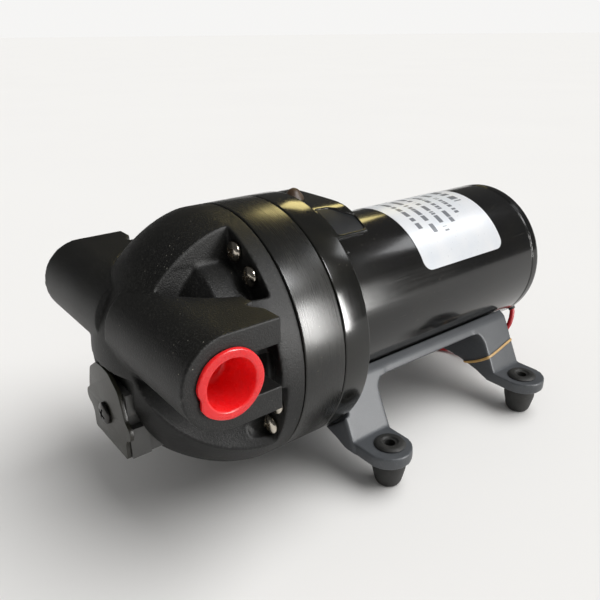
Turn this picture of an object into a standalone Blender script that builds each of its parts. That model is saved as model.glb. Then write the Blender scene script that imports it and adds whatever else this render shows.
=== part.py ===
"""Bilge pump: a four-chamber diaphragm pump with its motor, pressure switch and mounting base.

Every piece hangs from one empty on the pump's axis. Axial places count from the seam between the
head cover and the pump housing: the head is towards -X, the motor towards +X, and the ports face
-Y (inlet) and +Y (outlet). The base stands on z = 0.
"""
import math

import bmesh
import bpy
from mathutils import Matrix, Vector

MM = 0.001
GAP = 0.3 * MM                      # running and resting gap between separate pieces

# Driving dimensions
AXIS_HEIGHT = 66.55 * MM            # pump axis above the surface that the feet stand on
AXIS_SHIFT = -61.55 * MM            # brings the middle of the overall length to x = 0
RING_R = 55.0 * MM                  # cover, housing and adaptor
FLANGE_FRONT = -8.25 * MM           # face that the head screws sit on
HOUSING_END = 19.9 * MM             # seam between housing and adaptor
ADAPTOR_END = 33.2 * MM
DOME_LENGTH = 49.0 * MM
DOME_POWER = 1.61
CAN_R = 38.3 * MM
CAN_BORE_R = 36.5 * MM
CAN_START = 33.5 * MM
CAN_END = 174.2 * MM
BELL_FACE = 179.5 * MM
SADDLE_END = 50.0 * MM
SADDLE_TOP = 52.0 * MM
SADDLE_ANGLE = 50.5                 # the lug's lower edges, degrees above the horizontal

PORT_X = -38.1 * MM
PORT_Z = 15.8 * MM
PORT_FACE = 63.8 * MM
PORT_R = 17.5 * MM
PORT_ARM_END = -17.4 * MM
PORT_BORE_R = 11.6 * MM
SLOT_END = -11.0 * MM                # rear wall of the slots for the port clips

DRUM_R = 43.2 * MM                  # chamber body inside the pockets
DRUM_START = -22.5 * MM
STRAP_HALF_WIDTH = 17.9 * MM
SCREW_CIRCLE_R = 49.0 * MM
SCREW_ANGLES = (62.0, 47.6, -13.0, -27.0)   # degrees above the horizontal on each side

CHAMBER_CIRCLE_R = 24.0 * MM
CHAMBER_ANGLES = (45, 135, 225, 315)
WOBBLE_PIVOT = 13.5 * MM
SHAFT_R = 4.0 * MM

FOOT_X = (44.2 * MM, 141.0 * MM)
FOOT_Y = 57.7 * MM
FOOT_TOP = -47.3 * MM
FOOT_THICK = 5.5 * MM

LEAD_DIAMETER = 2.8 * MM
LEAD_COIL_R = 15.0 * MM             # middle of the coil's turns
LEAD_COIL_WIDTH = 8.8 * MM          # three turns side by side


# ---------------------------------------------------------------- scene and helpers

def clear_scene():
    for item in list(bpy.data.objects):
        bpy.data.objects.remove(item, do_unlink=True)
    for item in list(bpy.data.collections):
        bpy.data.collections.remove(item)


def collection(name):
    made = bpy.data.collections.new(name)
    bpy.context.scene.collection.children.link(made)
    return made


clear_scene()
PARTS = collection("bilge_pump")
CUTTERS = collection("cutters")

AXIS = bpy.data.objects.new("pump_axis", None)
AXIS.location = (AXIS_SHIFT, 0, AXIS_HEIGHT)
PARTS.objects.link(AXIS)


def material(name, colour, roughness, metallic=0.0):
    made = bpy.data.materials.new(name)
    made.use_nodes = True
    shader = made.node_tree.nodes["Principled BSDF"]
    shader.inputs["Base Color"].default_value = (*colour, 1)
    shader.inputs["Roughness"].default_value = roughness
    shader.inputs["Metallic"].default_value = metallic
    made.diffuse_color = (*colour, 1)
    return made


COVER_BLACK = material("cover_black", (0.030, 0.031, 0.032), 0.55)
RING_BLACK = material("ring_black", (0.014, 0.014, 0.015), 0.22)
PAINT_BLACK = material("motor_paint", (0.010, 0.010, 0.011), 0.12)
STAINLESS = material("stainless", (0.62, 0.61, 0.58), 0.25, 1.0)
BARE_STEEL = material("bare_steel", (0.42, 0.39, 0.35), 0.38, 1.0)
PLUG_RED = material("plug_red", (0.78, 0.020, 0.022), 0.38)
SWITCH_BLACK = material("switch_black", (0.040, 0.040, 0.038), 0.45)
SCREW_DARK = material("screw_dark", (0.030, 0.030, 0.032), 0.35, 0.6)
CAST_GREY = material("cast_base", (0.075, 0.080, 0.088), 0.50, 0.2)
RUBBER = material("rubber_black", (0.020, 0.020, 0.020), 0.70)
FOIL = material("label_foil", (0.80, 0.81, 0.83), 0.30, 0.3)
NYLON = material("nylon_white", (0.72, 0.71, 0.66), 0.45)
COPPER = material("copper", (0.72, 0.33, 0.16), 0.30, 1.0)
IRON = material("laminated_iron", (0.30, 0.29, 0.28), 0.45, 1.0)
FERRITE = material("ferrite", (0.070, 0.068, 0.066), 0.60)
CARBON = material("carbon", (0.045, 0.045, 0.048), 0.50)
ALUMINIUM = material("aluminium", (0.60, 0.60, 0.61), 0.35, 1.0)
LEAD_RED = material("lead_red", (0.62, 0.020, 0.030), 0.40)


def place(item, group):
    group.objects.link(item)
    item.parent = AXIS
    if group is CUTTERS:
        item.hide_render = True
        item.display_type = 'WIRE'
    return item


def from_bmesh(name, bm, paint=None):
    """An object from a bmesh: a part if it has a material, else a cutter."""
    mesh = bpy.data.meshes.new(name)
    bm.to_mesh(mesh)
    bm.free()
    if paint:
        mesh.materials.append(paint)
    return place(bpy.data.objects.new(name, mesh), PARTS if paint else CUTTERS)


def box(name, low, high, paint=None):
    """A block between two corners, given in the axis frame."""
    low, high = Vector(low), Vector(high)
    bm = bmesh.new()
    bmesh.ops.create_cube(bm, size=1)
    bmesh.ops.scale(bm, vec=high - low, verts=bm.verts)
    item = from_bmesh(name, bm, paint)
    item.location = (low + high) / 2
    return item


def rod(name, start, end, radius, paint=None, end_radius=None, sides=16):
    """A round bar, or a cone when end_radius is given, from start to end."""
    start, end = Vector(start), Vector(end)
    bm = bmesh.new()
    bmesh.ops.create_cone(bm, cap_ends=True, segments=sides, radius1=radius,
                          radius2=radius if end_radius is None else end_radius,
                          depth=(end - start).length)
    item = from_bmesh(name, bm, paint)
    item.location = (start + end) / 2
    item.rotation_mode = 'QUATERNION'
    item.rotation_quaternion = (end - start).to_track_quat('Z', 'Y')
    return item


def turned(name, profile, paint=None, sides=32, closed=False, along='X', centre=(0, 0, 0)):
    """A turned piece. The profile is (axial, radius) pairs from the far end down the outer side."""
    bm = bmesh.new()
    points = [bm.verts.new((radius, 0, axial)) for axial, radius in profile]
    for first, second in zip(points, points[1:]):
        bm.edges.new((first, second))
    if closed:
        bm.edges.new((points[-1], points[0]))
    item = from_bmesh(name, bm, paint)
    screw = item.modifiers.new("turn", 'SCREW')
    screw.steps = sides
    screw.render_steps = sides
    screw.use_merge_vertices = True
    screw.merge_threshold = 0.00002
    item.location = centre
    if along == 'X':
        item.rotation_euler = (0, math.pi / 2, 0)
    return item


def arc(centre, radius, start, end, count):
    """Points on an arc, in degrees, both ends included."""
    return [(centre[0] + radius * math.cos(math.radians(start + (end - start) * i / (count - 1))),
             centre[1] + radius * math.sin(math.radians(start + (end - start) * i / (count - 1))))
            for i in range(count)]


# How a flat outline's own axes lie in the axis frame, by the direction it is extruded along
OUTLINE_FRAMES = {
    'X': Matrix(((0, 0, 1), (1, 0, 0), (0, 1, 0))),      # outline in (y, z)
    'Y': Matrix(((1, 0, 0), (0, 0, -1), (0, 1, 0))),     # outline in (x, z)
    'Z': Matrix.Identity(3),                             # outline in (x, y)
}


def prism(name, outline, low, high, along, paint=None):
    """A flat outline extruded between low and high along an axis, as a closed mesh."""
    curve = bpy.data.curves.new(name, 'CURVE')
    curve.dimensions = '2D'
    curve.fill_mode = 'BOTH'
    curve.extrude = (high - low) / 2
    spline = curve.splines.new('POLY')
    spline.points.add(len(outline) - 1)
    for point, (u, v) in zip(spline.points, outline):
        point.co = (u, v, 0, 1)
    spline.use_cyclic_u = True
    item = mesh_of_curve(name, curve, paint)
    middle = {'X': Vector((1, 0, 0)), 'Y': Vector((0, 1, 0)), 'Z': Vector((0, 0, 1))}[along]
    item.matrix_local = Matrix.Translation(middle * (low + high) / 2) @ OUTLINE_FRAMES[along].to_4x4()
    return item


def mesh_of_curve(name, curve, paint):
    """Replaces a curve by its mesh with the caps welded on."""
    source = bpy.data.objects.new(name + "_outline", curve)
    CUTTERS.objects.link(source)
    bpy.context.view_layer.update()
    evaluated = source.evaluated_get(bpy.context.evaluated_depsgraph_get())
    mesh = bpy.data.meshes.new_from_object(evaluated)
    bm = bmesh.new()
    bm.from_mesh(mesh)
    bmesh.ops.remove_doubles(bm, verts=bm.verts, dist=0.00001)
    bmesh.ops.recalc_face_normals(bm, faces=bm.faces)
    bpy.data.objects.remove(source, do_unlink=True)
    bpy.data.meshes.remove(mesh)
    return from_bmesh(name, bm, paint)


def boolean(item, others, operation):
    for other in others:
        step = item.modifiers.new(operation.lower(), 'BOOLEAN')
        step.operation = operation
        step.object = other
    return item


def cut(item, *others):
    return boolean(item, others, 'DIFFERENCE')


def join(item, *others):
    return boolean(item, others, 'UNION')


def keep(item, *others):
    return boolean(item, others, 'INTERSECT')


def around(radius, angle, axial=0.0, side=1):
    """A point in the axis frame, angle degrees above the horizontal on the -Y side (side 1)."""
    turn = math.radians(angle)
    return Vector((axial, -side * radius * math.cos(turn), radius * math.sin(turn)))


def holes(name, centres, start, end, radius, sides=8):
    """One cutter of parallel round bars along X through the given points."""
    bm = bmesh.new()
    for centre in centres:
        turn = Matrix.Rotation(math.pi / 2, 4, 'Y')
        spot = Matrix.Translation(((start + end) / 2, centre[1], centre[2]))
        bmesh.ops.create_cone(bm, cap_ends=True, segments=sides, radius1=radius, radius2=radius,
                              depth=abs(end - start), matrix=spot @ turn)
    return from_bmesh(name, bm)


# ---------------------------------------------------------------- pump head

def dome_radius(axial):
    """The dome's outline: a superellipse that meets the flange at its full radius."""
    depth = min(1.0, (FLANGE_FRONT - axial) / DOME_LENGTH)
    return RING_R * math.sqrt(max(0.0, 1 - depth ** DOME_POWER))


def dome_profile(back, inset=0.0):
    """The cover's outline, or one that lies inside it."""
    rim = RING_R - inset
    steps = 9
    turns = [math.sin(math.pi / 2 * i / steps) for i in range(1, steps + 1)]
    places = [FLANGE_FRONT - DOME_LENGTH * t for t in turns]
    dome = [(axial, dome_radius(axial) - inset) for axial in places[:-1]]
    return [(back, 0), (back, rim), (FLANGE_FRONT, rim)] + dome + [(places[-1], 0)]


def chamber_core(name, inset=0.0):
    """The drum under the pockets, with its domed front."""
    outline = [(0, DRUM_R), (DRUM_START, DRUM_R), (-27.5 * MM, 38.5 * MM), (-33.0 * MM, 32.0 * MM),
               (-40.0 * MM, 20.0 * MM)]
    inner = [(axial, radius - inset) for axial, radius in outline]
    return turned(name, [(0, 0)] + inner + [(-46.0 * MM, 0)], sides=36)


def port_outline():
    """U-shaped boss: a round end about the port and two straight arms towards the flange."""
    bow = arc((PORT_X, PORT_Z), PORT_R, 90, 270, 13)
    return bow + [(PORT_ARM_END, PORT_Z - PORT_R), (PORT_ARM_END, PORT_Z + PORT_R)]


def open_pocket(side, word):
    """Space above the lower pocket and beside the middle strap, open to the front."""
    low, high = sorted((-side * STRAP_HALF_WIDTH, -side * 80 * MM))
    return box(f"pocket_upper_{word}", (-70 * MM, low, 31.7 * MM), (FLANGE_FRONT, high, 70 * MM))


def deep_pocket(side, word):
    """The same space going down behind the port boss, inside a thin rim of the dome."""
    low, high = sorted((-side * (STRAP_HALF_WIDTH - 0.15 * MM), -side * 60 * MM))
    pocket = box(f"pocket_deep_{word}", (-50 * MM, low, 25 * MM), (FLANGE_FRONT - 0.15 * MM, high, 40 * MM))
    keep(pocket, turned(f"rim_{word}", dome_profile(0, 1.0 * MM), sides=48))
    return cut(pocket, chamber_core(f"deep_core_{word}", 0.1 * MM))


def lower_pocket(side, word):
    """A wide bowl about the port, up to the middle of the boss."""
    bowl = rod(f"pocket_lower_{word}", (PORT_X, -side * 6.5 * MM, PORT_Z), (PORT_X, -side * 72 * MM, PORT_Z),
               0.1 * MM, end_radius=88.0 * MM, sides=48)
    return keep(bowl, box(f"pocket_bounds_{word}", (-90 * MM, -80 * MM, -90 * MM),
                          (FLANGE_FRONT, 80 * MM, 10.5 * MM)))


def boss_corner(side, word):
    """The slanted upper corner at the boss's rear end."""
    outline = [(x * MM, -side * y * MM) for x, y in ((-17.2, 54.6), (-20.6, 49.5), (-20.0, 47.5), (-17.2, 47.5))]
    return prism(f"boss_corner_{word}", outline, 24.2 * MM, 36 * MM, 'Z')


def head_cover():
    cover = turned("head_cover", dome_profile(-GAP / 2), COVER_BLACK, sides=48)
    core = chamber_core("core_shape")
    sides = ((1, "near"), (-1, "far"))
    for side, word in sides:
        cut(cover, cut(open_pocket(side, word), core), cut(lower_pocket(side, word), core))
    for side, word in sides:
        low, high = sorted((-side * 4 * MM, -side * PORT_FACE))
        join(cover, prism(f"port_boss_{word}", port_outline(), low, high, 'Y'))
    for side, word in sides:
        cut(cover, deep_pocket(side, word), boss_corner(side, word), *port_cuts(side, word))
    cut(cover, *chamber_cuts())
    pad = box("flange_pad_near", (-10.8 * MM, -56 * MM, -1.0 * MM), (-6.5 * MM, -49 * MM, 15.5 * MM))
    join(cover, keep(pad, turned("pad_skin", dome_profile(0, 0.1 * MM), sides=48)))
    cut(cover, holes("screw_seats", screw_centres(), -17 * MM, FLANGE_FRONT + 0.15 * MM, 4.7 * MM,
                     sides=14))
    cut(cover, holes("cover_screw_holes", screw_centres(), -20 * MM, 5 * MM, 2.3 * MM))


def port_cuts(side, word):
    """Plug seat, retaining-clip slot and the passage into the chambers of one port."""
    def spot(x, y, z):
        return (x, -side * y, z)
    seat = rod(f"port_seat_{word}", spot(PORT_X, 42 * MM, PORT_Z), spot(PORT_X, 70 * MM, PORT_Z),
               PORT_BORE_R, sides=24)
    low, high = sorted((-side * 46 * MM, -side * 70 * MM))
    slot = box(f"port_slot_{word}", (PORT_X, low, 7.2 * MM), (SLOT_END, high, 23.4 * MM))
    depth = 29 * MM if side == 1 else 9 * MM
    passage = rod(f"port_passage_{word}", spot(PORT_X, depth, PORT_Z), spot(PORT_X, 44 * MM, PORT_Z),
                  7.0 * MM)
    turn_y = depth + 2 * MM
    elbow = rod(f"port_elbow_{word}", spot(PORT_X, turn_y, PORT_Z), spot(-18 * MM, turn_y, PORT_Z),
                5.6 * MM, sides=14)
    return seat, slot, passage, elbow


def chamber_cuts():
    """Seat for the valve plate, the outer inlet chamber, the middle outlet chamber, switch pockets."""
    seat = rod("valve_seat", (-12.4 * MM, 0, 0), (5 * MM, 0, 0), 41.3 * MM, sides=36)
    inlet = turned("inlet_chamber", [(-12 * MM, 23 * MM), (-12 * MM, 37 * MM), (-22 * MM, 37 * MM),
                                     (-22 * MM, 23 * MM)], sides=24, closed=True)
    outlet = rod("outlet_chamber", (-30 * MM, 0, 0), (-12 * MM, 0, 0), 21 * MM, sides=24)
    front = box("switch_flat", (-70 * MM, -24 * MM, -36 * MM), (-53.0 * MM, 24 * MM, 1.6 * MM))
    body = box("switch_pocket", (-70 * MM, -17.0 * MM, -36 * MM), (-41.0 * MM, 17.0 * MM, -5.0 * MM))
    return seat, inlet, outlet, front, body


def screw_centres():
    return [around(SCREW_CIRCLE_R, angle, side=side) for side in (1, -1) for angle in SCREW_ANGLES]


def head_screws():
    """Pan-head screws that clamp the cover, housing and adaptor."""
    shank = 2.0 * MM
    head = 4.05 * MM
    under = FLANGE_FRONT - 0.15 * MM
    profile = [(28.5 * MM, 0), (28.5 * MM, shank), (under, shank), (under, head),
               (under - 1.3 * MM, head), (under - 2.2 * MM, 3.0 * MM), (under - 2.6 * MM, 0)]
    for number, centre in enumerate(screw_centres(), 1):
        turned(f"head_screw_{number}", profile, STAINLESS, sides=10, centre=centre)


def ring(name, start, end, paint, bore):
    """A plain ring of the pump's outer radius, lightly chamfered."""
    edge = 0.6 * MM
    return turned(name, [(end, bore), (end, RING_R - edge), (end - edge, RING_R), (start + edge, RING_R),
                         (start, RING_R - edge), (start, bore)], paint, sides=48, closed=True)


def pump_housing():
    housing = ring("pump_housing", GAP / 2, HOUSING_END - GAP / 2, RING_BLACK, 40 * MM)
    seat = rod("diaphragm_seat", (-2 * MM, 0, 0), (2.0 * MM, 0, 0), 44.2 * MM, sides=36)
    cut(housing, seat)
    cut(housing, holes("housing_screw_holes", screw_centres(), -5 * MM, 25 * MM, 2.3 * MM))


def saddle_outline():
    """The lug's section in (y, z): the ring's curve on each side, a flat top, and the motor below."""
    outer = RING_R - 0.1 * MM
    flat = math.degrees(math.asin(SADDLE_TOP / outer))
    near = arc((0, 0), outer, SADDLE_ANGLE, flat, 5)
    far = arc((0, 0), outer, 180 - flat, 180 - SADDLE_ANGLE, 5)
    return near + far + arc((0, 0), CAN_R + 0.5 * MM, 180 - SADDLE_ANGLE, SADDLE_ANGLE, 12)


def motor_adaptor():
    """Second ring, with the back wall that carries the motor and a flat-topped lug over the motor."""
    start = HOUSING_END + GAP / 2
    wall = 29.0 * MM
    edge = 0.6 * MM
    profile = [(ADAPTOR_END, 11.3 * MM), (ADAPTOR_END, RING_R - edge), (ADAPTOR_END - edge, RING_R),
               (start + edge, RING_R), (start, RING_R - edge), (start, 40 * MM), (wall, 40 * MM),
               (wall, 11.3 * MM)]
    adaptor = turned("motor_adaptor", profile, RING_BLACK, sides=48, closed=True)
    join(adaptor, prism("saddle_lug", saddle_outline(), 30 * MM, SADDLE_END, 'X'))
    join(adaptor, rod("mould_gate", (37 * MM, 0, 50.6 * MM), (37 * MM, 0, 57 * MM), 4.6 * MM,
                      end_radius=1.6 * MM))
    cut(adaptor, holes("adaptor_screw_holes", screw_centres(), 15 * MM, 31 * MM, 2.3 * MM))


def port_plugs():
    """Hollow transit plugs with a flat flange on the port face."""
    for side, word in ((1, "near"), (-1, "far")):
        flange = PORT_FACE + 0.3 * MM
        front = flange + 1.6 * MM
        profile = [(flange - 15.4 * MM, 0), (flange - 15.4 * MM, 7.4 * MM), (front, 9.4 * MM),
                   (front, 12.75 * MM), (flange, 12.75 * MM), (flange, 11.2 * MM),
                   (flange - 17 * MM, 10.4 * MM), (flange - 17 * MM, 0)]
        plug = turned(f"port_plug_{word}", profile, PLUG_RED, sides=24, along='Z',
                      centre=(PORT_X, 0, PORT_Z))
        plug.rotation_euler = (side * math.pi / 2, 0, 0)


# ---------------------------------------------------------------- valves and drive

def chamber_centres():
    return [around(CHAMBER_CIRCLE_R, angle) for angle in CHAMBER_ANGLES]


VALVE_PLATE_FRONT = -12.0 * MM
CHAMBER_FLOOR = -8.0 * MM
INLET_R = 30.0 * MM
OUTLET_R = 16.8 * MM


def valve_plate():
    plate = rod("valve_plate", (VALVE_PLATE_FRONT, 0, 0), (-1.0 * MM, 0, 0), 41.0 * MM, NYLON, sides=36)
    cut(plate, holes("chamber_bores", chamber_centres(), CHAMBER_FLOOR, 5 * MM, 10.5 * MM, sides=16))
    ports = [around(radius, angle) for radius in (INLET_R, OUTLET_R) for angle in CHAMBER_ANGLES]
    cut(plate, holes("valve_ports", ports, -20 * MM, 0, 2.2 * MM, sides=8))
    cut(plate, holes("valve_stem_hole", [(0, 0, 0)], -20 * MM, 5 * MM, 2.7 * MM))


def valves():
    """Rubber umbrella valves: one inlet valve in each chamber, one outlet valve over all the outlets."""
    stem = 1.0 * MM
    cap = 3.8 * MM
    low = CHAMBER_FLOOR + GAP
    inlet = [(low + 1.0 * MM, 0), (low + 0.6 * MM, cap), (low, cap), (low, stem),
             (VALVE_PLATE_FRONT + 0.5 * MM, stem), (VALVE_PLATE_FRONT + 0.5 * MM, 0)]
    for number, angle in enumerate(CHAMBER_ANGLES, 1):
        turned(f"inlet_valve_{number}", inlet, RUBBER, sides=10, centre=around(INLET_R, angle))
    high = VALVE_PLATE_FRONT - GAP
    outlet = [(-3.0 * MM, 0), (-3.0 * MM, 2.4 * MM), (high, 2.4 * MM), (high, 20.2 * MM),
              (high - 0.8 * MM, 20.2 * MM), (high - 1.8 * MM, 4 * MM), (high - 1.8 * MM, 0)]
    turned("outlet_valve", outlet, RUBBER, sides=24)


def diaphragm():
    sheet = rod("diaphragm", (0.45 * MM, 0, 0), (1.65 * MM, 0, 0), 43.7 * MM, RUBBER, sides=32)
    cut(sheet, holes("diaphragm_holes", chamber_centres(), -5 * MM, 5 * MM, 4.4 * MM, sides=10))


DISC_FRONT = 3.4 * MM
DISC_BACK = 8.0 * MM


def wobble_drive():
    """Four pistons on a wobble plate, which a bearing carries on the shaft's eccentric."""
    floor = DISC_FRONT + 3.6 * MM
    hub = [(floor, 0), (floor, 15.3 * MM), (18.5 * MM, 15.3 * MM), (18.5 * MM, 20 * MM),
           (DISC_BACK, 20 * MM), (DISC_BACK, 34 * MM), (DISC_FRONT, 34 * MM), (DISC_FRONT, 0)]
    plate = turned("wobble_plate", hub, ALUMINIUM, sides=28)
    cut(plate, holes("piston_sockets", chamber_centres(), 0, 6.4 * MM, 3.3 * MM))
    head = [(6.1 * MM, 0), (6.1 * MM, 3.0 * MM), (-1.4 * MM, 3.0 * MM), (-1.4 * MM, 9.0 * MM),
            (-3.0 * MM, 9.0 * MM), (-3.4 * MM, 8.4 * MM), (-3.4 * MM, 0)]
    for number, centre in enumerate(chamber_centres(), 1):
        turned(f"piston_{number}", head, NYLON, sides=12, centre=centre)
    tube("wobble_bearing", 10.5 * MM, 17.5 * MM, 9.5 * MM, 15.0 * MM, BARE_STEEL, 20)


def tube(name, start, end, inner, outer, paint, sides=18):
    return turned(name, [(end, inner), (end, outer), (start, outer), (start, inner)], paint,
                  sides=sides, closed=True)


def eccentric():
    """Bearing seat on the shaft, with its counterweight below."""
    seat = tube("eccentric", 9.6 * MM, 20.4 * MM, SHAFT_R + 0.1 * MM, 9.0 * MM, BARE_STEEL, 18)
    outline = arc((0, 0), 22 * MM, 180, 360, 17) + arc((0, 0), 8.0 * MM, 0, 180, 9)
    weight = prism("counterweight", outline, 20.1 * MM, 25.7 * MM, 'X')
    cut(weight, rod("shaft_hole", (0, 0, 0), (40 * MM, 0, 0), SHAFT_R + 0.1 * MM, sides=18))
    join(seat, weight)


# ---------------------------------------------------------------- motor

def motor_shell():
    tube("motor_can", CAN_START, CAN_END, CAN_BORE_R, CAN_R, PAINT_BLACK, 48)
    tube("motor_front_plate", 34.0 * MM, 38.0 * MM, 11.3 * MM, CAN_BORE_R - GAP, BARE_STEEL, 28)
    bell = [(182.6 * MM, 0), (182.6 * MM, 10 * MM), (181.8 * MM, 15 * MM), (180.3 * MM, 21 * MM),
            (BELL_FACE, 26 * MM), (BELL_FACE, 33.8 * MM), (BELL_FACE - 0.8 * MM, 34.6 * MM),
            (174.5 * MM, 35.2 * MM), (168 * MM, 36.1 * MM), (168 * MM, 30.0 * MM), (172 * MM, 29.0 * MM),
            (174.6 * MM, 24 * MM), (174.6 * MM, 10.5 * MM), (166 * MM, 10.5 * MM), (166 * MM, 8.3 * MM),
            (176.5 * MM, 8.3 * MM), (176.5 * MM, 0)]
    cap = turned("end_bell", bell, BARE_STEEL, sides=28)
    cut(cap, holes("bolt_holes", bolt_centres(), 160 * MM, 190 * MM, 2.0 * MM))
    tube("front_bearing", 29.4 * MM, 37.0 * MM, SHAFT_R + 0.1 * MM, 11.0 * MM, STAINLESS)
    tube("rear_bearing", 166.4 * MM, 173.4 * MM, SHAFT_R + 0.1 * MM, 8.0 * MM, STAINLESS)


def bolt_centres():
    return [Vector((0, 0, sign * 31.2 * MM)) for sign in (1, -1)]


def through_bolts():
    face = BELL_FACE + GAP
    for word, centre in zip(("upper", "lower"), bolt_centres()):
        profile = [(face + 2.2 * MM, 0), (face + 1.6 * MM, 2.6 * MM), (face, 3.2 * MM), (face, 1.7 * MM),
                   (38.6 * MM, 1.7 * MM), (38.6 * MM, 0)]
        turned(f"through_bolt_{word}", profile, STAINLESS, sides=10, centre=centre)


def magnets():
    for side, word in ((-1, "near"), (1, "far")):
        middle = 90 - side * 90
        half = 66
        outline = (arc((0, 0), 36.1 * MM, middle - half, middle + half, 13)
                   + arc((0, 0), 30.2 * MM, middle + half, middle - half, 13))
        prism(f"magnet_{word}", outline, 62 * MM, 140 * MM, 'X', FERRITE)


def armature():
    rod("motor_shaft", (9.0 * MM, 0, 0), (174.0 * MM, 0, 0), SHAFT_R, STAINLESS, sides=18)
    core = tube("armature_core", 66 * MM, 136 * MM, SHAFT_R + 0.1 * MM, 28.4 * MM, IRON, 30)
    slots = bmesh.new()
    for number in range(10):
        turn = Matrix.Rotation(math.radians(36 * number), 4, 'X')
        spot = Matrix.Translation((101 * MM, 0, 24.0 * MM))
        size = Matrix.Diagonal((90 * MM, 3.0 * MM, 14 * MM, 1))
        bmesh.ops.create_cube(slots, size=1, matrix=turn @ spot @ size)
    cut(core, from_bmesh("winding_slots", slots))
    for word, start, end in (("front", 56, 65.7), ("rear", 136.3, 146)):
        low, high = start * MM, end * MM
        profile = [(high, 8 * MM), (high, 22 * MM), (high - 3 * MM, 25 * MM), (low + 3 * MM, 25 * MM),
                   (low, 22 * MM), (low, 8 * MM)]
        turned(f"winding_{word}", profile, COPPER, sides=18, closed=True)
    tube("commutator", 147 * MM, 160 * MM, SHAFT_R + 0.1 * MM, 12 * MM, COPPER, 18)


def brush_gear():
    holder = tube("brush_holder", 160.8 * MM, 163.4 * MM, 10.5 * MM, 36.1 * MM, NYLON, 24)
    for side, word in ((1, "near"), (-1, "far")):
        def spot(y):
            return -side * y
        low, high = sorted((spot(13.5 * MM), spot(33.0 * MM)))
        join(holder, box(f"brush_box_{word}", (148.4 * MM, low, -6 * MM), (161.2 * MM, high, 6 * MM)))
        low, high = sorted((spot(5.0 * MM), spot(31.5 * MM)))
        cut(holder, box(f"brush_slide_{word}", (150.2 * MM, low, -4.3 * MM), (158.8 * MM, high, 4.3 * MM)))
        low, high = sorted((spot(12.4 * MM), spot(24.0 * MM)))
        box(f"brush_{word}", (150.5 * MM, low, -4.0 * MM), (158.5 * MM, high, 4.0 * MM), CARBON)
    cut(holder, holes("holder_bolt_holes", bolt_centres(), 155 * MM, 170 * MM, 2.0 * MM))


def motor_label():
    outline = (arc((0, 0), CAN_R + 0.60 * MM, 25, 155, 21) + arc((0, 0), CAN_R + GAP, 155, 25, 21))
    prism("motor_label", outline, 87 * MM, 145 * MM, 'X', FOIL)


# ---------------------------------------------------------------- lead

LEAD_OUT = Vector((0, -0.62, -0.785)).normalized()
LEAD_GLAND_X = 177.0 * MM
COIL_CENTRE = (92.0 * MM, 48.0 * MM)

# The lead's route, in the axis frame: out of the gland, down behind the rear leg and across under the
# end of the motor, then along the surface to the coil
LEAD_ROUTE = [Vector(point) * MM for point in (
    (177.0, -24.05, -30.45), (176.2, -25.05, -32.35), (174.9, -25.8, -35.0), (173.4, -26.0, -38.4),
    (171.8, -25.2, -42.0), (170.4, -23.2, -45.8), (169.3, -20.2, -49.6), (168.6, -16.2, -53.4),
    (167.9, -11.2, -57.0), (166.9, -5.2, -60.4), (165.0, 1.8, -63.2), (161.4, 9.4, -64.9),
    (155.6, 16.6, -65.1), (147.6, 22.2, -65.1), (138.4, 26.8, -65.1), (129.6, 32.2, -65.1),
    (122.4, 38.8, -65.1), (117.2, 44.6, -65.1), (113.6, 50.4, -65.1))]


def smooth_route(points, spacing):
    """Points every so far along a smooth curve through the given ones."""
    path = []
    for i in range(len(points) - 1):
        before = points[max(i - 1, 0)]
        start, end = points[i], points[i + 1]
        after = points[min(i + 2, len(points) - 1)]
        count = max(1, round((end - start).length / spacing))
        for step in range(count):
            t = step / count
            path.append(0.5 * ((2 * start) + (end - before) * t
                               + (2 * before - 5 * start + 4 * end - after) * t ** 2
                               + (3 * start - before - 3 * end + after) * t ** 3))
    path.append(points[-1])
    return path


def red_lead():
    """Gland on the end bell, the lead's loose stretch and the coil that holds the rest of it."""
    foot = Vector((LEAD_GLAND_X, 0, 0))
    rod("lead_gland", foot + LEAD_OUT * 35.4 * MM, foot + LEAD_OUT * 37.9 * MM, 2.3 * MM, RUBBER,
        end_radius=1.8 * MM, sides=12)
    curve = bpy.data.curves.new("red_lead", 'CURVE')
    curve.dimensions = '3D'
    curve.bevel_depth = LEAD_DIAMETER / 2
    curve.bevel_resolution = 2
    curve.use_fill_caps = True
    curve.materials.append(LEAD_RED)
    path = smooth_route(LEAD_ROUTE, 6.5 * MM)
    spline = curve.splines.new('POLY')
    spline.points.add(len(path) - 1)
    for point, spot in zip(spline.points, path):
        point.co = (*spot, 1)
    place(bpy.data.objects.new("red_lead", curve), PARTS)
    band = LEAD_COIL_WIDTH / 2
    low = -AXIS_HEIGHT + 0.05 * MM
    turned("lead_coil", [(low + LEAD_DIAMETER, LEAD_COIL_R - band), (low + LEAD_DIAMETER, LEAD_COIL_R + band),
                         (low, LEAD_COIL_R + band), (low, LEAD_COIL_R - band)], LEAD_RED, sides=28,
           closed=True, along='Z', centre=(*COIL_CENTRE, 0))


# ---------------------------------------------------------------- pressure switch

SWITCH_FACE = -57.2 * MM
SWITCH_BACK = -55.6 * MM
SWITCH_SCREW = (0, 1.1 * MM, -20.0 * MM)


def switch_outline():
    """Shield-shaped cover plate, in (y, z): flat foot, a lug on each side, sloping top."""
    half = [(0, 1.1 * MM), (6.0 * MM, 0.6 * MM), (13.5 * MM, -4.4 * MM), (15.7 * MM, -10.0 * MM),
            (17.5 * MM, -15.5 * MM), (21.0 * MM, -17.6 * MM), (21.6 * MM, -19.8 * MM),
            (20.8 * MM, -22.2 * MM), (17.0 * MM, -24.0 * MM), (15.7 * MM, -27.0 * MM),
            (15.7 * MM, -33.3 * MM)]
    return half + [(-y, z) for y, z in reversed(half[1:])]


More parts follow.
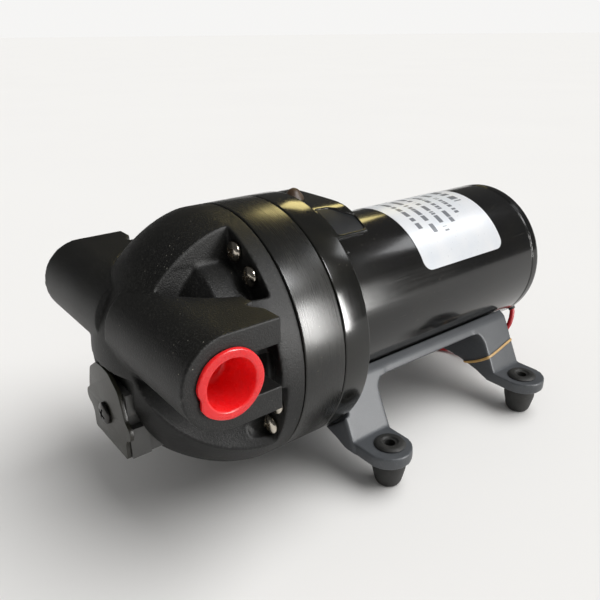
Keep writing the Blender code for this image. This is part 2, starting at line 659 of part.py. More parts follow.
def pressure_switch():
    """Switch on the lower front of the head: body, cover plate, screw, plunger, spring, contacts."""
    plate = prism("switch_cover", switch_outline(), SWITCH_FACE, SWITCH_BACK, 'X', SWITCH_BLACK)
    cut(plate, holes("cover_screw_hole", [SWITCH_SCREW], -70 * MM, -45 * MM, 1.9 * MM))
    front = SWITCH_BACK + GAP
    body = box("switch_body", (front, -16.4 * MM, -33.3 * MM), (-47.3 * MM, 16.4 * MM, -20.5 * MM),
               SWITCH_BLACK)
    join(body, box("switch_root", (-48.0 * MM, -15.5 * MM, -33.15 * MM), (-41.5 * MM, 15.5 * MM, -24.0 * MM)))
    join(body, box("switch_tower", (front + 0.1 * MM, -13.0 * MM, -26 * MM), (-41.4 * MM, 13.0 * MM, -5.4 * MM)))
    join(body, box("switch_step", (front + 0.2 * MM, -15.8 * MM, -14.5 * MM), (-50.5 * MM, 15.8 * MM, -5.6 * MM)))
    room = box("switch_room", (-60 * MM, -9.0 * MM, -17.5 * MM), (-45.5 * MM, 9.0 * MM, -8.0 * MM))
    cut(body, room)
    cut(body, holes("plunger_bore", [(0, 0, -12.5 * MM)], -50 * MM, -35 * MM, 1.9 * MM, sides=12))
    cut(body, holes("body_screw_hole", [SWITCH_SCREW], -60 * MM, -46.5 * MM, 1.9 * MM))
    screw = [(-48.0 * MM, 0), (-48.0 * MM, 1.6 * MM), (SWITCH_FACE - GAP, 1.6 * MM),
             (SWITCH_FACE - GAP, 4.6 * MM), (SWITCH_FACE - 1.5 * MM, 4.5 * MM),
             (SWITCH_FACE - 2.3 * MM, 3.0 * MM), (SWITCH_FACE - 2.3 * MM, 0)]
    turned("switch_screw", screw, SCREW_DARK, sides=12, centre=SWITCH_SCREW)
    box("micro_switch", (-55.1 * MM, -6.5 * MM, -16.5 * MM), (-50.2 * MM, 6.5 * MM, -8.6 * MM), SWITCH_BLACK)
    plunger = [(-41.8 * MM, 0), (-41.8 * MM, 1.5 * MM), (-47.6 * MM, 1.5 * MM), (-47.6 * MM, 3.2 * MM),
               (-48.8 * MM, 3.2 * MM), (-48.8 * MM, 0)]
    turned("switch_plunger", plunger, NYLON, sides=12, centre=(0, 0, -12.5 * MM))
    tube("switch_spring", -47.3 * MM, -45.8 * MM, 2.0 * MM, 2.9 * MM, STAINLESS, 12).location[2] = -12.5 * MM


# ---------------------------------------------------------------- base and feet

CRADLE_START = 36.0 * MM
CRADLE_FINISH = 153.0 * MM
RIM_ANGLE = 34                      # the cradle's rim, degrees below the horizontal
LEG_SPANS = ((31.4 * MM, 54.5 * MM), (131.0 * MM, 152.4 * MM))


def leg_section():
    """Both legs and the saddle between them, in (y, z)."""
    right = [(33.9 * MM, -22.9 * MM), (36.2 * MM, -24.2 * MM), (47.3 * MM, FOOT_TOP), (49.0 * MM, -52.5 * MM),
             (42.0 * MM, -52.5 * MM), (36.0 * MM, -50.0 * MM), (24.0 * MM, -47.0 * MM), (10.0 * MM, -46.0 * MM)]
    under = right + [(-y, z) for y, z in reversed(right)]
    return under + arc((0, 0), 40.6 * MM, 180 + RIM_ANGLE + 2, 360 - RIM_ANGLE - 2, 14)


def leg_side(start, end, rail):
    """One leg from the side, in (x, z), widening into the rail with a round corner."""
    low = FOOT_TOP - FOOT_THICK - 5 * MM
    top = -15 * MM
    corner = 6.0 * MM
    under = -27.0 * MM
    if rail > 0:
        bend = arc((end + corner, under - corner), corner, 180, 90, 6)
        return [(start, top), (start, low), (end, low)] + bend + [(end + corner, top)]
    bend = arc((start - corner, under - corner), corner, 90, 0, 6)
    return [(start - corner, top)] + bend + [(start, low), (end, low), (end, top)]


def base():
    """Cast cradle: a trough under the motor, a rail on each side, four legs and foot plates."""
    outer = 42.6 * MM
    inner = CAN_R + GAP + 0.2 * MM
    trough = (arc((0, 0), outer, 180 + RIM_ANGLE, 360 - RIM_ANGLE, 21)
              + arc((0, 0), inner, 360 - RIM_ANGLE, 180 + RIM_ANGLE, 21))
    body = prism("base", trough, CRADLE_START, CRADLE_FINISH, 'X', CAST_GREY)
    for sign, word in ((-1, "near"), (1, "far")):
        rail = [(sign * y, z) for y, z in ((33.2 * MM, -22.4 * MM), (35.9 * MM, -23.9 * MM),
                                           (37.5 * MM, -27.3 * MM), (34.4 * MM, -27.6 * MM))]
        join(body, prism(f"rail_{word}", rail, CRADLE_START + GAP, CRADLE_FINISH - GAP, 'X'))
    for number, (start, end) in enumerate(LEG_SPANS):
        rail = 1 if number == 0 else -1
        section = prism(f"leg_section_{number}", leg_section(), start - 10 * MM, end + 10 * MM, 'X')
        side = prism(f"leg_side_{number}", leg_side(start, end, rail), -70 * MM, 70 * MM, 'Y')
        join(body, keep(section, side))
    cut(body, rod("ring_clearance", (0, 0, 0), (ADAPTOR_END + 2 * GAP, 0, 0), RING_R + 1 * MM, sides=40))
    half = (LEG_SPANS[1][1] - LEG_SPANS[1][0]) / 2 + 0.15 * MM
    for x, (start, end) in zip(FOOT_X, LEG_SPANS):
        middle = (start + end) / 2
        for sign, word in ((-1, "near"), (1, "far")):
            tip = arc((middle, sign * FOOT_Y), half, 0, sign * 180, 13)
            plate = tip + [(middle - half, sign * 43 * MM), (middle + half, sign * 43 * MM)]
            join(body, prism(f"foot_plate_{word}", plate, FOOT_TOP - FOOT_THICK, FOOT_TOP, 'Z'))
    for x in FOOT_X:
        for sign in (-1, 1):
            cut(body, rod("foot_hole", (x, sign * FOOT_Y, -60 * MM), (x, sign * FOOT_Y, -40 * MM), 5.2 * MM,
                          sides=16))


def foot_grommets():
    """Rubber grommets through the foot plates, with the bolt hole down the middle."""
    plate_top = FOOT_TOP + GAP
    plate_low = FOOT_TOP - FOOT_THICK - GAP
    hole = 2.4 * MM
    profile = [(plate_top + 1.2 * MM, hole), (plate_top + 1.2 * MM, 5.4 * MM), (plate_top, 7.25 * MM),
               (plate_top, 4.8 * MM), (plate_low, 4.8 * MM), (plate_low, 7.6 * MM),
               (plate_low - 5.0 * MM, 7.6 * MM), (-AXIS_HEIGHT + 1.5 * MM, 6.0 * MM),
               (-AXIS_HEIGHT, 5.0 * MM), (-AXIS_HEIGHT, hole)]
    number = 0
    for x in FOOT_X:
        for sign in (-1, 1):
            number += 1
            turned(f"foot_grommet_{number}", profile, RUBBER, sides=16, closed=True, along='Z',
                   centre=(x, sign * FOOT_Y, 0))


def finish():
    """Round pieces are shaded smooth, with their real edges kept sharp."""
    bpy.context.view_layer.update()
    for item in PARTS.objects:
        if item.type == 'MESH':
            item.data.shade_smooth()
            item.data.set_sharp_from_angle(angle=math.radians(35))


def main():
    head_cover()
    head_screws()
    pump_housing()
    motor_adaptor()
    port_plugs()
    valve_plate()
    valves()
    diaphragm()
    wobble_drive()
    eccentric()
    motor_shell()
    through_bolts()
    magnets()
    armature()
    brush_gear()
    motor_label()
    red_lead()
    pressure_switch()
    base()
    foot_grommets()
    finish()


main()
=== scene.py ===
"""Looks of the bilge pump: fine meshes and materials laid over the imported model.

Shapes are written in the pump's axis frame, as in the model's own source: axial places count from
the seam between head cover and housing, the head is towards -X, the inlet port faces -Y, and the
origin is on the pump's axis. ORIGIN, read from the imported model, brings them to their place.
"""
import math

import bmesh
import bpy
from mathutils import Matrix, Vector


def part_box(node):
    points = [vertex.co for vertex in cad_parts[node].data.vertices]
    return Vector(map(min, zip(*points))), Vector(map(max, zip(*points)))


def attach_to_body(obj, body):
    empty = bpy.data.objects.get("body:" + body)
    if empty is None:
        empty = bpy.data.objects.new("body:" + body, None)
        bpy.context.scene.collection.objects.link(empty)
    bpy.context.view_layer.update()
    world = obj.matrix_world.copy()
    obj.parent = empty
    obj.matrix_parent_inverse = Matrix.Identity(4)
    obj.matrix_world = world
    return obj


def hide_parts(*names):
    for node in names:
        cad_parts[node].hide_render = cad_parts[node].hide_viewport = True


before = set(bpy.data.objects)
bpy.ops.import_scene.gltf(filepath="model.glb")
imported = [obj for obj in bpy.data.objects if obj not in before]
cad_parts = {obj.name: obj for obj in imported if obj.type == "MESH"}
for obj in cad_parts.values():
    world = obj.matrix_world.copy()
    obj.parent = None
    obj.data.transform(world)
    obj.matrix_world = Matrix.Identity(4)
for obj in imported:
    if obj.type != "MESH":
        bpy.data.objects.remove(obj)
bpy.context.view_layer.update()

MM = 0.001


def mm(*values):
    """Lengths given in millimetres."""
    return tuple(value * MM for value in values)


GAP = 0.3 * MM

# ---------------------------------------------------------------- places read from the model

housing_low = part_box("pump_housing")[0]
can_low, can_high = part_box("motor_can")
ORIGIN = Vector((housing_low.x - GAP / 2, 0, (can_low.z + can_high.z) / 2))


def span(node):
    """Lowest and highest corner of a CAD node, in the axis frame."""
    low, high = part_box(node)
    return low - ORIGIN, high - ORIGIN


def having(thing, **values):
    """The same thing, with these properties set."""
    for key, value in values.items():
        setattr(thing, key, value)
    return thing


def placed(name, data):
    """A new object with the given data, in the scene."""
    item = bpy.data.objects.new(name, data)
    bpy.context.scene.collection.objects.link(item)
    return item


FLOOR = -ORIGIN.z
COVER_HIGH = span("head_cover")[1]
RING_R = COVER_HIGH.z
HOUSING_END = span("pump_housing")[1].x + GAP / 2
CAN_R = span("motor_can")[1].z
CAN_START = span("motor_can")[0].x
CAN_END = span("motor_can")[1].x
ADAPTOR_END = CAN_START - GAP
SADDLE_END = span("motor_adaptor")[1].x
BELL_END = span("end_bell")[1].x
PLUG_LOW, PLUG_HIGH = span("port_plug_far")
PORT_X = (PLUG_LOW.x + PLUG_HIGH.x) / 2
PORT_Z = (PLUG_LOW.z + PLUG_HIGH.z) / 2
PORT_FACE = COVER_HIGH.y
LABEL_LOW, LABEL_HIGH = span("motor_label")

FLANGE_FRONT = -8.25 * MM
CAN_BORE_R = 36.5 * MM
SCREW_CIRCLE_R = 49.0 * MM
SCREW_ANGLES = (62.0, 47.6, -13.0, -27.0)
SLOT_END = -11.0 * MM
STRAP_HALF_WIDTH = 17.9 * MM


# ---------------------------------------------------------------- camera

def make_camera():
    forward = Vector((0.5642, 0.7294, -0.3867)).normalized()
    right = Vector((0.7888, -0.6146, -0.0083)).normalized()
    up = right.cross(forward)
    data = bpy.data.cameras.new("camera")
    camera = placed("camera", having(data, lens=38.62, sensor_width=36, clip_start=0.01))
    turn = Matrix((right, up, -forward)).transposed().to_4x4()
    camera.matrix_world = Matrix.Translation((-0.19179, -0.21995, 0.18634)) @ turn
    bpy.context.scene.camera = camera


make_camera()


# ---------------------------------------------------------------- mesh helpers

def rounded(corners, steps=5):
    """A profile's points, with each corner that gives a third number softened by that radius."""
    points = []
    for i, corner in enumerate(corners):
        here = Vector(corner[:2])
        radius = corner[2] if len(corner) > 2 else 0
        if not radius:
            points.append(here)
            continue
        back = Vector(corners[i - 1][:2]) - here
        ahead = Vector(corners[(i + 1) % len(corners)][:2]) - here
        reach = min(radius, back.length * 0.49, ahead.length * 0.49)
        start = here + back.normalized() * reach
        end = here + ahead.normalized() * reach
        for step in range(steps + 1):
            t = step / steps
            points.append(start * (1 - t) ** 2 + here * 2 * t * (1 - t) + end * t ** 2)
    return [(point.x, point.y) for point in points]


def corners_from(axial, radius, *corners):
    """Profile corners from a point, each in mm: axial and radial distance from it and rounding."""
    return [(axial + a * MM, radius + r * MM, soft * MM) for a, r, soft in corners]


# How a turned piece's own axes (its axis last) lie in the axis frame
TURNS = {
    'X': Matrix(((0, 0, 1), (-1, 0, 0), (0, 1, 0))),
    'Y': Matrix(((1, 0, 0), (0, 0, 1), (0, 1, 0))),
    '-Y': Matrix(((-1, 0, 0), (0, 0, -1), (0, 1, 0))),
    'Z': Matrix.Identity(3),
}


def skin(bm, rows, around=True, along=False):
    """Faces between rows of vertices: around closes each row, along joins the last to the first."""
    pairs = list(zip(rows, rows[1:]))
    if along:
        pairs.append((rows[-1], rows[0]))
    for first, second in pairs:
        count = max(len(first), len(second))
        for step in range(count if around else count - 1):
            after = (step + 1) % count
            corners = [first[step % len(first)], first[after % len(first)],
                       second[after % len(second)], second[step % len(second)]]
            bm.faces.new(list(dict.fromkeys(corners)))
    bmesh.ops.recalc_face_normals(bm, faces=bm.faces)
    return bm


def lathe(profile, sides=128, closed=False, along='X', shape=None):
    """A turned mesh from (axial, radius) pairs. shape(turn, axial, radius) may bend it."""
    bm = bmesh.new()
    matrix = TURNS[along]
    rings = []
    for axial, radius in profile:
        if radius < 1e-7:
            rings.append([bm.verts.new(matrix @ Vector((0, 0, axial)))])
            continue
        ring = []
        for step in range(sides):
            turn = 2 * math.pi * step / sides
            a, r = shape(turn, axial, radius) if shape else (axial, radius)
            spot = Vector((r * math.cos(turn), r * math.sin(turn), a))
            ring.append(bm.verts.new(matrix @ spot))
        rings.append(ring)
    return skin(bm, rings, along=closed)


def block(low, high):
    low, high = Vector(low), Vector(high)
    bm = bmesh.new()
    bmesh.ops.create_cube(bm, size=1)
    bmesh.ops.scale(bm, vec=high - low, verts=bm.verts)
    bmesh.ops.translate(bm, vec=(low + high) / 2, verts=bm.verts)
    return bm


def arc(centre, radius, start, end, count):
    """Points on an arc, in degrees, both ends included."""
    turns = [math.radians(start + (end - start) * i / (count - 1)) for i in range(count)]
    return [(centre[0] + radius * math.cos(turn), centre[1] + radius * math.sin(turn)) for turn in turns]


OUTLINES = {**TURNS, 'X': Matrix(((0, 0, 1), (1, 0, 0), (0, 1, 0)))}


def prism(outline, low, high, along):
    """A flat outline extruded between low and high along an axis, as a closed mesh."""
    bm = bmesh.new()
    matrix = OUTLINES[along]
    ends = [[bm.verts.new(matrix @ Vector((u, v, w))) for u, v in outline] for w in (low, high)]
    for end in ends:
        bm.faces.new(end)
    return skin(bm, ends)


def cone(start, end, radius, end_radius=None, sides=96):
    start, end = Vector(start), Vector(end)
    bm = bmesh.new()
    turn = (end - start).to_track_quat('Z', 'Y').to_matrix().to_4x4()
    spot = Matrix.Translation((start + end) / 2) @ turn
    bmesh.ops.create_cone(bm, cap_ends=True, segments=sides, radius1=radius,
                          radius2=radius if end_radius is None else end_radius,
                          depth=(end - start).length, matrix=spot)
    return bm


def item_from(name, bm):
    """An object in the axis frame, from a bmesh, on no body yet."""
    mesh = bpy.data.meshes.new(name)
    bm.to_mesh(mesh)
    bm.free()
    item = placed(name, mesh)
    item.location = ORIGIN
    return item


def boolean(item, operation, *shapes):
    for number, shape in enumerate(shapes):
        other = shape if isinstance(shape, bpy.types.Object) else item_from("tool", shape)
        step = item.modifiers.new(f"{operation}_{number}", 'BOOLEAN')
        having(step, operation=operation, solver='EXACT', object=other)
    return item


def settle(item):
    """Applies an object's modifiers and removes the tools that they used."""
    tools = [step.object for step in item.modifiers if step.type == 'BOOLEAN']
    bpy.context.view_layer.update()
    evaluated = item.evaluated_get(bpy.context.evaluated_depsgraph_get())
    mesh = bpy.data.meshes.new_from_object(evaluated)
    item.modifiers.clear()
    item.data = mesh
    for tool in tools:
        bpy.data.objects.remove(tool, do_unlink=True)
    return item


def cut(item, *shapes):
    return settle(boolean(item, 'DIFFERENCE', *shapes))


def join(item, *shapes):
    return settle(boolean(item, 'UNION', *shapes))


def keep(item, *shapes):
    return settle(boolean(item, 'INTERSECT', *shapes))


def soften(item, voxel, rounds, faces, blend=None):
    """Remeshes a solid finely and rounds its edges, as a moulding's or casting's are."""
    having(item.modifiers.new("remesh", 'REMESH'), mode='VOXEL', voxel_size=voxel)
    having(item.modifiers.new("smooth", 'SMOOTH'), factor=0.5, iterations=rounds)
    settle(item)
    if blend:
        blend(item)
    thin = item.modifiers.new("thin", 'DECIMATE')
    thin.ratio = min(1.0, faces / (2 * len(item.data.polygons)))
    return settle(item)


def edge_bevel(item, width, segments, angle=30):
    """A bevel on edges sharper than the angle, not yet applied."""
    return having(item.modifiers.new("edges", 'BEVEL'), width=width, segments=segments,
                  limit_method='ANGLE', angle_limit=math.radians(angle))


def smooth_shade(item, angle=40):
    item.data.shade_smooth()
    item.data.set_sharp_from_angle(angle=math.radians(angle))


def coat(item, finish):
    item.data.materials.clear()
    item.data.materials.append(finish)


def attach(item, finish, nodes=(), angle=40, body="pump"):
    """Puts a piece on its body, with its finish, in the place of the CAD nodes it stands for."""
    if item.type == 'MESH':
        smooth_shade(item, angle)
    coat(item, finish)
    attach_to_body(item, body)
    if nodes:
        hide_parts(*nodes)
    return item


def around(radius, angle, axial=0.0, side=1):
    """A point in the axis frame, angle degrees above the horizontal on the -Y side (side 1)."""
    turn = math.radians(angle)
    return Vector((axial, -side * radius * math.cos(turn), radius * math.sin(turn)))


# ---------------------------------------------------------------- finishes

class Finish:
    """A procedural material: one principled shader and the nodes that feed it."""

    def __init__(self, name, colour, roughness, metallic=0.0):
        self.material = bpy.data.materials.new(name)
        self.material.use_nodes = True
        self.tree = self.material.node_tree
        self.shader = self.tree.nodes["Principled BSDF"]
        self.colour = (*colour, 1)
        self.roughness = roughness
        self.set("Base Color", self.colour)
        self.set("Roughness", roughness)
        self.set("Metallic", metallic)
        self.place = self.node("ShaderNodeTexCoord").outputs["Object"]
        self.normal = None
        self.paint = None
        self.rough = None

    def node(self, kind, inputs={}, **settings):
        """A new node, with its settings and with a value or a link for each given input."""
        made = having(self.tree.nodes.new(kind), **settings)
        for key, value in inputs.items():
            if isinstance(value, bpy.types.NodeSocket):
                self.link(value, made.inputs[key])
            else:
                made.inputs[key].default_value = value
        return made

    def link(self, source, target):
        self.tree.links.new(source, target)

    def set(self, name, value):
        self.shader.inputs[name].default_value = value

    def stretched(self, x, y, z):
        """The object's coordinates with each axis scaled."""
        mapping = self.node("ShaderNodeMapping", {"Vector": self.place, "Scale": (x, y, z)})
        return mapping.outputs["Vector"]

    def noise(self, scale, detail=4.0, roughness=0.55, vector=None):
        inputs = {"Scale": scale, "Detail": detail, "Roughness": roughness, "Vector": vector or self.place}
        return self.node("ShaderNodeTexNoise", inputs).outputs["Fac"]

    def ramp(self, value, low, high, bottom=0.0, top=1.0):
        """value from low to high becomes bottom to top, and stays there outside."""
        inputs = {"From Min": low, "From Max": high, "To Min": bottom, "To Max": top, "Value": value}
        return self.node("ShaderNodeMapRange", inputs).outputs["Result"]

    def maths(self, operation, first, second):
        return self.node("ShaderNodeMath", {0: first, 1: second}, operation=operation).outputs["Value"]

    def times(self, first, second):
        return self.maths('MULTIPLY', first, second)

    def tint(self, amount, colour):
        """Mixes a colour into the paint, by an amount from 0 to 1."""
        inputs = {"A": self.paint or self.colour, "B": (*colour, 1), "Factor": amount}
        self.paint = self.node("ShaderNodeMix", inputs, data_type='RGBA').outputs["Result"]
        self.link(self.paint, self.shader.inputs["Base Color"])

    def cloud(self, value, low, high, most, colour):
        """Mixes a colour in where value climbs from low to high, by most at the top."""
        self.tint(self.ramp(value, low, high, 0, most), colour)

    def roughen(self, value, amount):
        """Adds value, centred on a half, times amount to the roughness."""
        shifted = self.maths('SUBTRACT', value, 0.5)
        scaled = self.times(shifted, amount)
        self.rough = self.maths('ADD', scaled, self.rough or self.roughness)
        self.link(self.rough, self.shader.inputs["Roughness"])

    def emboss(self, value, depth, strength=1.0):
        bump = self.node("ShaderNodeBump", {"Strength": strength, "Distance": depth, "Height": value})
        if self.normal:
            self.link(self.normal, bump.inputs["Normal"])
        self.normal = bump.outputs["Normal"]
        self.link(self.normal, self.shader.inputs["Normal"])

    def edge(self, low=0.52, high=0.60):
        """How much a point stands on an outer edge, from 0 to 1."""
        place = self.node("ShaderNodeNewGeometry").outputs["Pointiness"]
        return self.ramp(place, low, high)

    def specks(self, scale, size, colour):
        """Sparse fine dust."""
        cells = self.node("ShaderNodeTexVoronoi", {"Scale": scale, "Vector": self.place})
        dots = self.ramp(cells.outputs["Distance"], size, size * 0.6)
        patches = self.ramp(self.noise(scale * 0.13), 0.52, 0.66)
        self.tint(self.times(dots, patches), colour)


def cover_plastic():
    made = Finish("cover_plastic", (0.006, 0.006, 0.006), 0.50)
    made.set("Specular IOR Level", 0.34)
    broad = made.noise(38, 5)
    grain = made.noise(1500, 3, 0.6)
    made.cloud(broad, 0.35, 0.75, 0.6, (0.012, 0.012, 0.010))
    made.cloud(grain, 0.52, 0.72, 0.7, (0.034, 0.034, 0.031))
    made.tint(made.times(made.edge(), 0.25), (0.060, 0.060, 0.058))
    made.specks(420, 0.10, (0.26, 0.25, 0.21))
    made.roughen(broad, 0.14)
    made.roughen(grain, 0.16)
    made.emboss(grain, 0.16 * MM, 0.85)
    made.emboss(made.noise(160, 3), 0.12 * MM, 0.22)
    return made.material


def gloss_plastic(name, roughness, streak):
    """Moulded black plastic with fine marks that run round the pump."""
    made = Finish(name, (0.010, 0.010, 0.009), roughness)
    round_marks = made.noise(1, 6, 0.7, made.stretched(2600, 26, 26))
    blotches = made.noise(55, 5)
    made.cloud(blotches, 0.45, 0.75, 0.7, (0.017, 0.016, 0.011))
    made.specks(520, 0.09, (0.22, 0.20, 0.15))
    made.roughen(round_marks, streak)
    made.roughen(blotches, 0.16)
    made.emboss(round_marks, 0.010 * MM, 0.30)
    made.emboss(made.noise(70, 3), 0.25 * MM, 0.12)
    return made.material


def motor_paint():
    made = Finish("motor_paint", (0.009, 0.009, 0.009), 0.17)
    peel = made.noise(420, 2)
    long_marks = made.noise(1, 5, 0.7, made.stretched(22, 900, 900))
    made.set("Specular IOR Level", 0.42)
    made.set("Coat Weight", 0.20)
    made.set("Coat Roughness", 0.08)
    made.cloud(made.noise(30, 5), 0.45, 0.8, 0.7, (0.016, 0.015, 0.012))
    made.specks(480, 0.11, (0.26, 0.25, 0.20))
    scuffs = made.noise(1, 4, 0.6, made.stretched(60, 1500, 1500))
    patches = made.ramp(made.noise(40, 3), 0.50, 0.62)
    made.tint(made.times(made.ramp(scuffs, 0.63, 0.70), patches), (0.055, 0.053, 0.046))
    made.roughen(long_marks, 0.16)
    made.roughen(made.noise(26, 4), 0.14)
    made.emboss(peel, 0.030 * MM, 0.22)
    return made.material


def label_foil():
    """White foil with rows of grey bars, a wide row first, in place of print."""
    made = Finish("label_foil", (0.82, 0.83, 0.85), 0.30)
    made.set("Metallic", 0.12)
    made.place = made.node("ShaderNodeUVMap", uv_map="label").outputs["UV"]
    parts = made.node("ShaderNodeSeparateXYZ", {"Vector": made.place}).outputs
    along, down = parts["X"], parts["Y"]

    def between(value, low, high):
        return made.times(made.maths('GREATER_THAN', value, low),
                          made.maths('LESS_THAN', value, high))

    def words(row, pitch, share):
        """Marks of uneven length down a row, with a gap where the noise is low."""
        inputs = {"X": made.times(row, 7.31), "Y": made.times(down, pitch)}
        spot = made.node("ShaderNodeCombineXYZ", inputs)
        return made.maths('GREATER_THAN', made.noise(1.0, 1.0, 0.4, spot.outputs["Vector"]), share)

    rows = made.times(made.maths('SUBTRACT', along, 0.10), 7.6)
    row = made.maths('FLOOR', rows, 0)
    line = between(made.maths('FRACT', rows, 0), 0.32, 0.70)
    ends = made.maths('ADD', 0.76, made.times(made.maths('SINE', row, 0), 0.06))
    small = made.times(line, made.maths('LESS_THAN', down, ends))
    small = made.times(small, between(along, 0.10, 0.757))
    small = made.times(small, words(row, 46.0, 0.46))
    large = made.times(between(along, 0.81, 0.90), words(1.0, 22.0, 0.44))
    large = made.times(large, between(down, 0.16, 0.62))
    printed = made.maths('MAXIMUM', small, large)
    marks = made.times(printed, made.maths('GREATER_THAN', down, 0.07))
    made.cloud(made.noise(3.0, 3), 0.35, 0.65, 0.6, (0.68, 0.73, 0.79))
    made.tint(made.times(marks, 0.85), (0.10, 0.11, 0.13))
    made.roughen(made.noise(60, 4), 0.15)
    made.emboss(made.noise(45, 3), 0.03 * MM, 0.25)
    return made.material


def clear_red():
    made = Finish("red_polythene", (0.88, 0.012, 0.017), 0.28)
    made.set("Subsurface Weight", 0.45)
    made.set("Subsurface Radius", (1.0, 0.10, 0.08))
    made.set("Subsurface Scale", 2.0 * MM)
    made.set("Specular IOR Level", 0.55)
    clouds = made.noise(110, 3)
    made.cloud(clouds, 0.4, 0.75, 0.45, (0.94, 0.045, 0.042))
    made.roughen(made.noise(320, 3), 0.16)
    made.emboss(made.noise(240, 2), 0.06 * MM, 0.30)
    return made.material


def cast_grey():
    made = Finish("cast_paint", (0.068, 0.073, 0.080), 0.44)
    made.set("Metallic", 0.15)
    grain = made.noise(1500, 3)
    cloud = made.noise(46, 5)
    made.cloud(cloud, 0.4, 0.75, 0.6, (0.096, 0.102, 0.110))
    made.cloud(grain, 0.56, 0.74, 0.40, (0.13, 0.14, 0.15))
    made.tint(made.times(made.edge(), 0.25), (0.17, 0.18, 0.19))
    made.roughen(cloud, 0.16)
    made.roughen(grain, 0.14)
    made.emboss(grain, 0.06 * MM, 0.45)
    made.emboss(made.noise(120, 3), 0.20 * MM, 0.22)
    return made.material


def rubber():
    made = Finish("rubber", (0.014, 0.014, 0.013), 0.62)
    bloom = made.noise(170, 5)
    made.cloud(bloom, 0.45, 0.75, 0.7, (0.042, 0.041, 0.038))
    made.specks(700, 0.11, (0.16, 0.15, 0.13))
    made.roughen(bloom, 0.22)
    made.emboss(made.noise(1400, 3), 0.05 * MM, 0.5)
    return made.material


def metal(name, colour, roughness, marks, darker, bump=0.012 * MM):
    """Bare metal with tool marks: marks is how the coordinates are stretched along them."""
    made = Finish(name, colour, roughness, 1.0)
    lines = made.noise(1, 6, 0.75, made.stretched(*marks))
    stains = made.noise(150, 5)
    made.cloud(stains, 0.42, 0.75, 0.7, darker)
    made.cloud(lines, 0.55, 0.8, 0.4, tuple(0.7 * c for c in darker))
    made.roughen(lines, 0.18)
    made.roughen(stains, 0.20)
    made.emboss(lines, bump, 0.5)
    return made.material


def moulded(name, colour, lighter, roughness, grain_scale=1800):
    """Plain moulded plastic or a sintered block, with a fine grain and uneven colour."""
    made = Finish(name, colour, roughness)
    cloud = made.noise(90, 5)
    grain = made.noise(grain_scale, 3)
    made.cloud(cloud, 0.4, 0.75, 0.8, lighter)
    made.roughen(cloud, 0.18)
    made.roughen(grain, 0.10)
    made.emboss(grain, 0.04 * MM, 0.4)
    return made.material


def wound_copper():
    """Enamelled wire laid side by side."""
    made = Finish("copper_winding", (0.55, 0.20, 0.08), 0.30, 0.9)
    wires = made.node("ShaderNodeTexWave", {"Scale": 420, "Distortion": 2.0, "Vector": made.place},
                      wave_type='BANDS', bands_direction='DIAGONAL')
    made.tint(made.ramp(wires.outputs["Fac"], 0.0, 0.5, 0.8, 0.0), (0.16, 0.045, 0.015))
    made.roughen(made.noise(300, 3), 0.2)
    made.emboss(wires.outputs["Fac"], 0.25 * MM, 0.6)
    return made.material


def laminations():
    """Thin iron sheets stacked along the shaft."""
    made = Finish("laminated_iron", (0.28, 0.27, 0.26), 0.42, 1.0)
    sheets = made.node("ShaderNodeTexWave", {"Scale": 600, "Vector": made.place},
                       wave_type='BANDS', bands_direction='X')
    made.tint(made.ramp(sheets.outputs["Fac"], 0.0, 0.35, 0.7, 0.0), (0.06, 0.05, 0.045))
    made.roughen(made.noise(120, 4), 0.2)
    made.emboss(sheets.outputs["Fac"], 0.05 * MM, 0.5)
    return made.material


def lead_jacket():
    made = Finish("red_lead_jacket", (0.60, 0.012, 0.020), 0.36)
    made.cloud(made.noise(260, 4), 0.45, 0.75, 0.6, (0.42, 0.010, 0.014))
    made.roughen(made.noise(600, 3), 0.2)
    made.emboss(made.noise(900, 2), 0.03 * MM, 0.4)
    return made.material


def latex():
    made = Finish("rubber_band", (0.62, 0.38, 0.13), 0.48)
    made.cloud(made.noise(420, 4), 0.4, 0.7, 0.6, (0.46, 0.25, 0.07))
    made.emboss(made.noise(1200, 2), 0.03 * MM, 0.4)
    return made.material


COVER = cover_plastic()
HOUSING = gloss_plastic("housing_plastic", 0.27, 0.20)
ADAPTOR = gloss_plastic("adaptor_plastic", 0.15, 0.14)
PAINT = motor_paint()
FOIL = label_foil()
RED = clear_red()
CAST = cast_grey()
RUBBER = rubber()
SADDLE = moulded("saddle_plastic", (0.010, 0.011, 0.013), (0.018, 0.019, 0.021), 0.40, 1500)
GATE = moulded("gate_plastic", (0.060, 0.034, 0.018), (0.100, 0.062, 0.036), 0.45, 1300)
SWITCH = moulded("switch_plastic", (0.018, 0.017, 0.011), (0.028, 0.026, 0.017), 0.38, 1300)
SWITCH_GREY = moulded("switch_grey", (0.080, 0.080, 0.077), (0.120, 0.120, 0.115), 0.40, 1300)
NYLON = moulded("nylon", (0.66, 0.65, 0.60), (0.74, 0.73, 0.69), 0.45)
FERRITE = moulded("ferrite", (0.060, 0.058, 0.056), (0.095, 0.090, 0.086), 0.58)
CARBON = moulded("carbon", (0.032, 0.032, 0.034), (0.060, 0.060, 0.062), 0.48)
STAINLESS = metal("stainless", (0.62, 0.57, 0.49), 0.22, (300, 300, 300), (0.36, 0.31, 0.25), 0.003 * MM)
SHAFT_STEEL = metal("ground_steel", (0.60, 0.60, 0.60), 0.20, (2200, 30, 30), (0.42, 0.41, 0.40))
BELL_STEEL = metal("bell_steel", (0.27, 0.25, 0.22), 0.36, (1600, 40, 40), (0.12, 0.105, 0.085))
ALUMINIUM = metal("aluminium", (0.60, 0.60, 0.61), 0.34, (300, 300, 300), (0.44, 0.44, 0.45))
COPPER_BAR = metal("commutator_copper", (0.72, 0.33, 0.16), 0.28, (1800, 60, 60), (0.40, 0.17, 0.08))
DARK_STEEL = metal("blackened_steel", (0.070, 0.068, 0.066), 0.30, (400, 400, 400), (0.030, 0.029, 0.028))
WINDING = wound_copper()
IRON = laminations()
